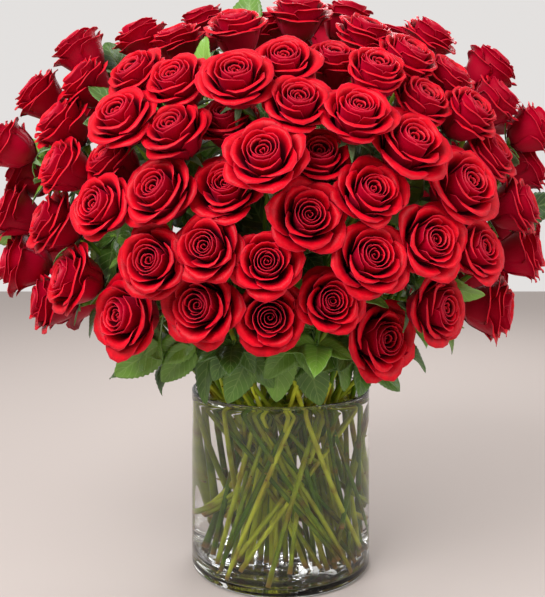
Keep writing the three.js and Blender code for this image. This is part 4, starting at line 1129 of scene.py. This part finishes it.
def blade_grid(leaf, teeth, random):
    """A leaflet's skin (along, across, 3). Its half width is sin(pi v^0.62)^0.7 of the leaf's, times one
    less or more at every other station for the teeth; it is folded, drooping and gently waved."""
    v = np.linspace(0, 1, 2 * teeth + 1)[:, None]
    u = np.linspace(-1, 1, 7)[None, :]
    half = 0.5 * np.sin(np.pi * v ** 0.62).clip(0) ** 0.7 + 0.004
    tooth = 1 - TOOTH * (np.arange(2 * teeth + 1)[:, None] % 2) * np.abs(u) ** 3
    grid = leaf_points(leaf, v + 0 * u, u * half * tooth)
    face = leaf_frame(leaf)[1]
    phase = random.uniform(0, 2 * np.pi, 2)
    wave = BLADE_WAVE * np.abs(u) * np.sin(9 * v + phase[0] + 2 * np.sign(u)) + 0.6 * np.sin(4 * v + phase[1])
    return grid + wave[..., None] * face * leaf["length"] / LEAF_LENGTH


def add_leaflet(parts, leaf, teeth, tone):
    """Adds a leaflet's blade to the parts of a mesh."""
    surface = shell(blade_grid(leaf, teeth, shape_numbers), BLADE_THICKNESS)
    parts.append((*surface, np.full(len(surface[0]), tone)))


def add_stalk(parts, leaf, bend, hold, tone):
    """Adds a stalk, a thin tube on a curve of second degree from the leaf round the bend to its stem."""
    s = np.linspace(0, 1, 6)[:, None]
    line = leaf_points(leaf, STALK_END, 0) * (1 - s) ** 2 + bend * 2 * s * (1 - s) + hold * s ** 2
    points, quads, triangles = tube(line, STALK_RADIUS * (0.8 + 0.5 * s[:, 0]), 5)
    places, sides = np.full((len(points), 2), 0.5), np.full(len(points), STALK_SIDE)
    parts.append((points, quads, triangles, places, sides, np.full(len(points), tone)))


def side_leaflets(leaf, back, size):
    """The pair of smaller leaflets that stand on a leaf's stalk, a little behind its blade."""
    across = leaf_frame(leaf)[0]
    for hand in (-1, 1):
        small = dict(leaf, root=leaf["root"] - leaf["along"] * back + hand * across * 1.5)
        small["along"] = unit(leaf["along"] * 0.5 + hand * across)
        small["length"], small["width"] = leaf["length"] * size, leaf["width"] * size
        yield small


def nearest_on_stem(point):
    """The point nearest to this one in the middle of any stem."""
    return stem_points[np.linalg.norm(stem_points - point, axis=1).argmin()]


outer_parts = []
stem_points = np.concatenate(list(stem_lines.values()))
for leaf in leaves:
    tone = shape_numbers.uniform(0, 1)
    add_leaflet(outer_parts, leaf, TEETH, tone)
    for small in side_leaflets(leaf, SIDE_BACK, SIDE_SIZE):
        marks = feelers(small)
        if head_room(marks) > SIDE_SUNK and not meets_glass(marks):
            add_leaflet(outer_parts, small, TEETH, tone)
    hold = nearest_on_stem(leaf["hold"])
    add_stalk(outer_parts, leaf, (leaf["root"] + hold) / 2 - leaf["along"] * STALK_SAG, hold, tone)

# Three broad leaves hang out beside the lowest rose on the left, whose pixel comes first. Each is given
# by the pixel column and row of its root and of its tip, and lies behind that rose
LOWEST_LEFT = (133, 315)
ASIDE_SEEN = ((160, 344, 112, 378), (194, 338, 150, 362), (192, 346, 160, 384))
ASIDE_BEHIND, ASIDE_WIDE = 18.0, 0.66
lowest_left = np.linalg.norm(HEADS_SEEN[:, :2] - LOWEST_LEFT, axis=1).argmin()
away = np.linalg.norm(place[lowest_left] - EYE) + ASIDE_BEHIND
for root_column, root_row, tip_column, tip_row in ASIDE_SEEN:
    root, tip = seen_at(root_column, root_row, away), seen_at(tip_column, tip_row, away)
    along, up = unit(tip - root), unit(EYE - root)
    length = np.linalg.norm(tip - root)
    leaf = {
        "root": root, "along": along, "up": unit(up - dot(up, along) * along),
        "length": length, "width": ASIDE_WIDE * length,
    }
    hold = nearest_on_stem(root)
    tone = shape_numbers.uniform(0, 1)
    add_leaflet(outer_parts, leaf, TEETH, tone)
    add_stalk(outer_parts, leaf, (root + hold) / 2, hold, tone)

# The inner leaves, in threes: twice on each stem, at the height and turn with the most room, if there
# is enough. They stand at one of a few distances below the rose, one of so many ways round the stem
INNER_DOWN, INNER_ANGLES = ((24.0, 38.0, 54.0), (48.0, 66.0, 84.0)), 12
INNER_LENGTH, INNER_WIDTH, INNER_TEETH, INNER_STALK, INNER_RISE = 46.0, 30.0, 4, 14.0, 0.55
INNER_SIDE, INNER_SIDE_BACK = 0.78, 4.0
INNER_SUNK, INNER_APART = -2.0, 20.0
inner_parts = []
leaf_middles = np.array([marks.mean(0) for marks in leaf_marks])
for downs, line in itertools.product(INNER_DOWN, stem_lines.values()):
    below = length_along(line)
    best_room, best = INNER_SUNK, None
    for down, k in itertools.product(downs, range(INNER_ANGLES)):
        station = np.searchsorted(below, down)
        up_stem = unit(line[station - 1] - line[station])
        outward = turned_about(square_to(up_stem), up_stem, 2 * np.pi * (k + 0.5) / INNER_ANGLES)
        along = unit(outward + INNER_RISE * up_stem)
        leaf = {
            "root": line[station] + along * INNER_STALK, "along": along, "up": up_stem,
            "length": INNER_LENGTH, "width": INNER_WIDTH, "hold": line[station],
        }
        marks = feelers(leaf)
        to_leaves = np.linalg.norm(leaf_middles - marks.mean(0), axis=-1).min()
        room = min(head_room(marks), to_leaves - INNER_APART)
        if room > best_room:
            best_room, best = room, leaf
    if best is None:
        continue
    leaf_middles = np.vstack([leaf_middles, feelers(best).mean(0)])
    tone = shape_numbers.uniform(0, 1)
    add_leaflet(inner_parts, best, INNER_TEETH, tone)
    add_stalk(inner_parts, best, (best["root"] + best["hold"]) / 2, best["hold"], tone)
    for small in side_leaflets(best, INNER_SIDE_BACK, INNER_SIDE):
        add_leaflet(inner_parts, small, INNER_TEETH, tone)

# Rose leaf: a thick skin with a waxy gloss over blue-green cells, darker on some leaves than on others,
# with a pale rib and side veins sunk into it. The underside is matt and grey-green.
leaf_green, leaf_tree, leaf_shader = new_material("green_rose_leaf", Roughness=0.33, IOR=1.45)
LEAF_DARK, LEAF_LIGHT, LEAF_UNDER, LEAF_VEIN = "#28481C", "#7CAA3C", "#7A9670", "#A8C272"
VEIN_PAIRS, VEIN_SLANT, RIB_HALF_WIDTH = 7, -0.55, 0.035
along, across = shares(leaf_tree)
side, tone = stored(leaf_tree, "side"), stored(leaf_tree, "tone")
spot = node(leaf_tree, "TexCoord").outputs["Object"]
# From dark to light green, by leaf and in patches
shade = calculate(leaf_tree, "MULTIPLY_ADD", noise(leaf_tree, spot, 70.0, 3.0), 0.5, tone)
shade = spread(leaf_tree, shade, 0.2, 1.35)
colour = mix_colours(leaf_tree, shade, linear(LEAF_DARK), linear(LEAF_LIGHT))
# The rib along the middle, and side veins that slant forwards from it
from_rib = calculate(leaf_tree, "ABSOLUTE", calculate(leaf_tree, "SUBTRACT", across, 0.5))
slanted = calculate(leaf_tree, "MULTIPLY_ADD", from_rib, VEIN_SLANT, along)
slanted = calculate(leaf_tree, "MULTIPLY", slanted, VEIN_PAIRS * 2 * np.pi)
side_veins = spread(leaf_tree, calculate(leaf_tree, "COSINE", slanted), 0.86, 1.0)
rib = spread(leaf_tree, from_rib, 0.0, RIB_HALF_WIDTH, 1.0, 0.0)
vein = calculate(leaf_tree, "MAXIMUM", rib, side_veins)
pale = calculate(leaf_tree, "MULTIPLY", vein, 0.28)
colour = mix_colours(leaf_tree, pale, colour, linear(LEAF_VEIN))
# The underside, where side is 1, as the normal of a leaf points down
under = calculate(leaf_tree, "MULTIPLY", side, 0.8)
colour = mix_colours(leaf_tree, under, colour, linear(LEAF_UNDER))
leaf_tree.links.new(colour, leaf_shader.inputs["Base Color"])
sunk = calculate(leaf_tree, "MULTIPLY_ADD", vein, -0.8, noise(leaf_tree, spot, 500.0, 2.0))
add_relief(leaf_tree, leaf_shader, sunk, 0.5, 0.0006)

green_pieces = {"rose_leaves": outer_parts, "inner_leaves": inner_parts, "rose_sepals": sepal_parts}
for name, parts in green_pieces.items():
    points, quads, triangles, places, sides, tones = gather(parts)
    mesh = add_piece(name, "greenery", leaf_green, "stems_and_leaves", points, quads, triangles)
    add_surface_data(mesh, places, side=sides, tone=tones)

# ---------------------------------------------------------------- the floor and the light
# A pale matt floor, a pale room and three soft lights, as for a product picture. They aren't part of
# the object.

FLOOR_HALF = 3000.0
corners = FLOOR_HALF * np.array([[-1, -1, 0], [1, -1, 0], [1, 1, 0], [-1, 1, 0]])
floor_mesh = new_mesh("floor", corners, np.array([[0, 1, 2, 3]]))
floor = bpy.data.objects.new("floor", floor_mesh)
bpy.context.scene.collection.objects.link(floor)
paper, *_ = new_material("pale_paper", Base_Color=linear("#B9AFAA"), Roughness=0.8)
floor_mesh.materials.append(paper)

# The room is bright above and behind the vase and dimmer behind the camera, so the glass and the petals
# show their own colours and not a pale reflection
ROOM_DIM, ROOM_BRIGHT, ROOM_STRENGTH = "#A09894", "#FBF8F6", 0.8
UPWARDS, DIM_BELOW = 0.9, 0.45
world = bpy.data.worlds.new("studio")
world.use_nodes = True
sky = world.node_tree
towards = node(sky, "SeparateXYZ", {0: node(sky, "TexCoord").outputs["Generated"]}).outputs
behind = calculate(sky, "MULTIPLY_ADD", towards[2], UPWARDS, towards[1])
behind = spread(sky, behind, -DIM_BELOW, DIM_BELOW, curve="SMOOTHSTEP")
room = mix_colours(sky, behind, linear(ROOM_DIM), linear(ROOM_BRIGHT))
sky.links.new(room, sky.nodes["Background"].inputs[0])
sky.nodes["Background"].inputs[1].default_value = ROOM_STRENGTH
bpy.context.scene.world = world

# Light crosses a dozen faces of glass and water on its way to the stems and the floor under the vase
BOUNCES = 32
bpy.context.scene.cycles.max_bounces = BOUNCES
bpy.context.scene.cycles.transmission_bounces = BOUNCES

# Each light's name, where it stands, its size and its power in watts. All point at the same height
LIGHTS = (
    ("key", (-900, -1300, 1500), 1200, 46),
    ("fill", (1300, -900, 800), 1000, 10),
    ("rear", (300, 1400, 1500), 900, 14),
)
LIT_HEIGHT = 330.0
for name, spot, size, watts in LIGHTS:
    light = bpy.data.lights.new(name, "AREA")
    light.size = size * MILLIMETRE
    light.energy = watts
    lamp = bpy.data.objects.new(name, light)
    lamp.location = np.array(spot) * MILLIMETRE
    aim = unit(np.array([0, 0, LIT_HEIGHT]) - np.array(spot, float))
    lamp.rotation_euler = (np.arccos(-aim[2]), 0, np.arctan2(-aim[0], aim[1]))
    bpy.context.scene.collection.objects.link(lamp)

# The reds and greens of a product picture are kept full, without the default film-like softening
bpy.context.scene.view_settings.view_transform = "Standard"
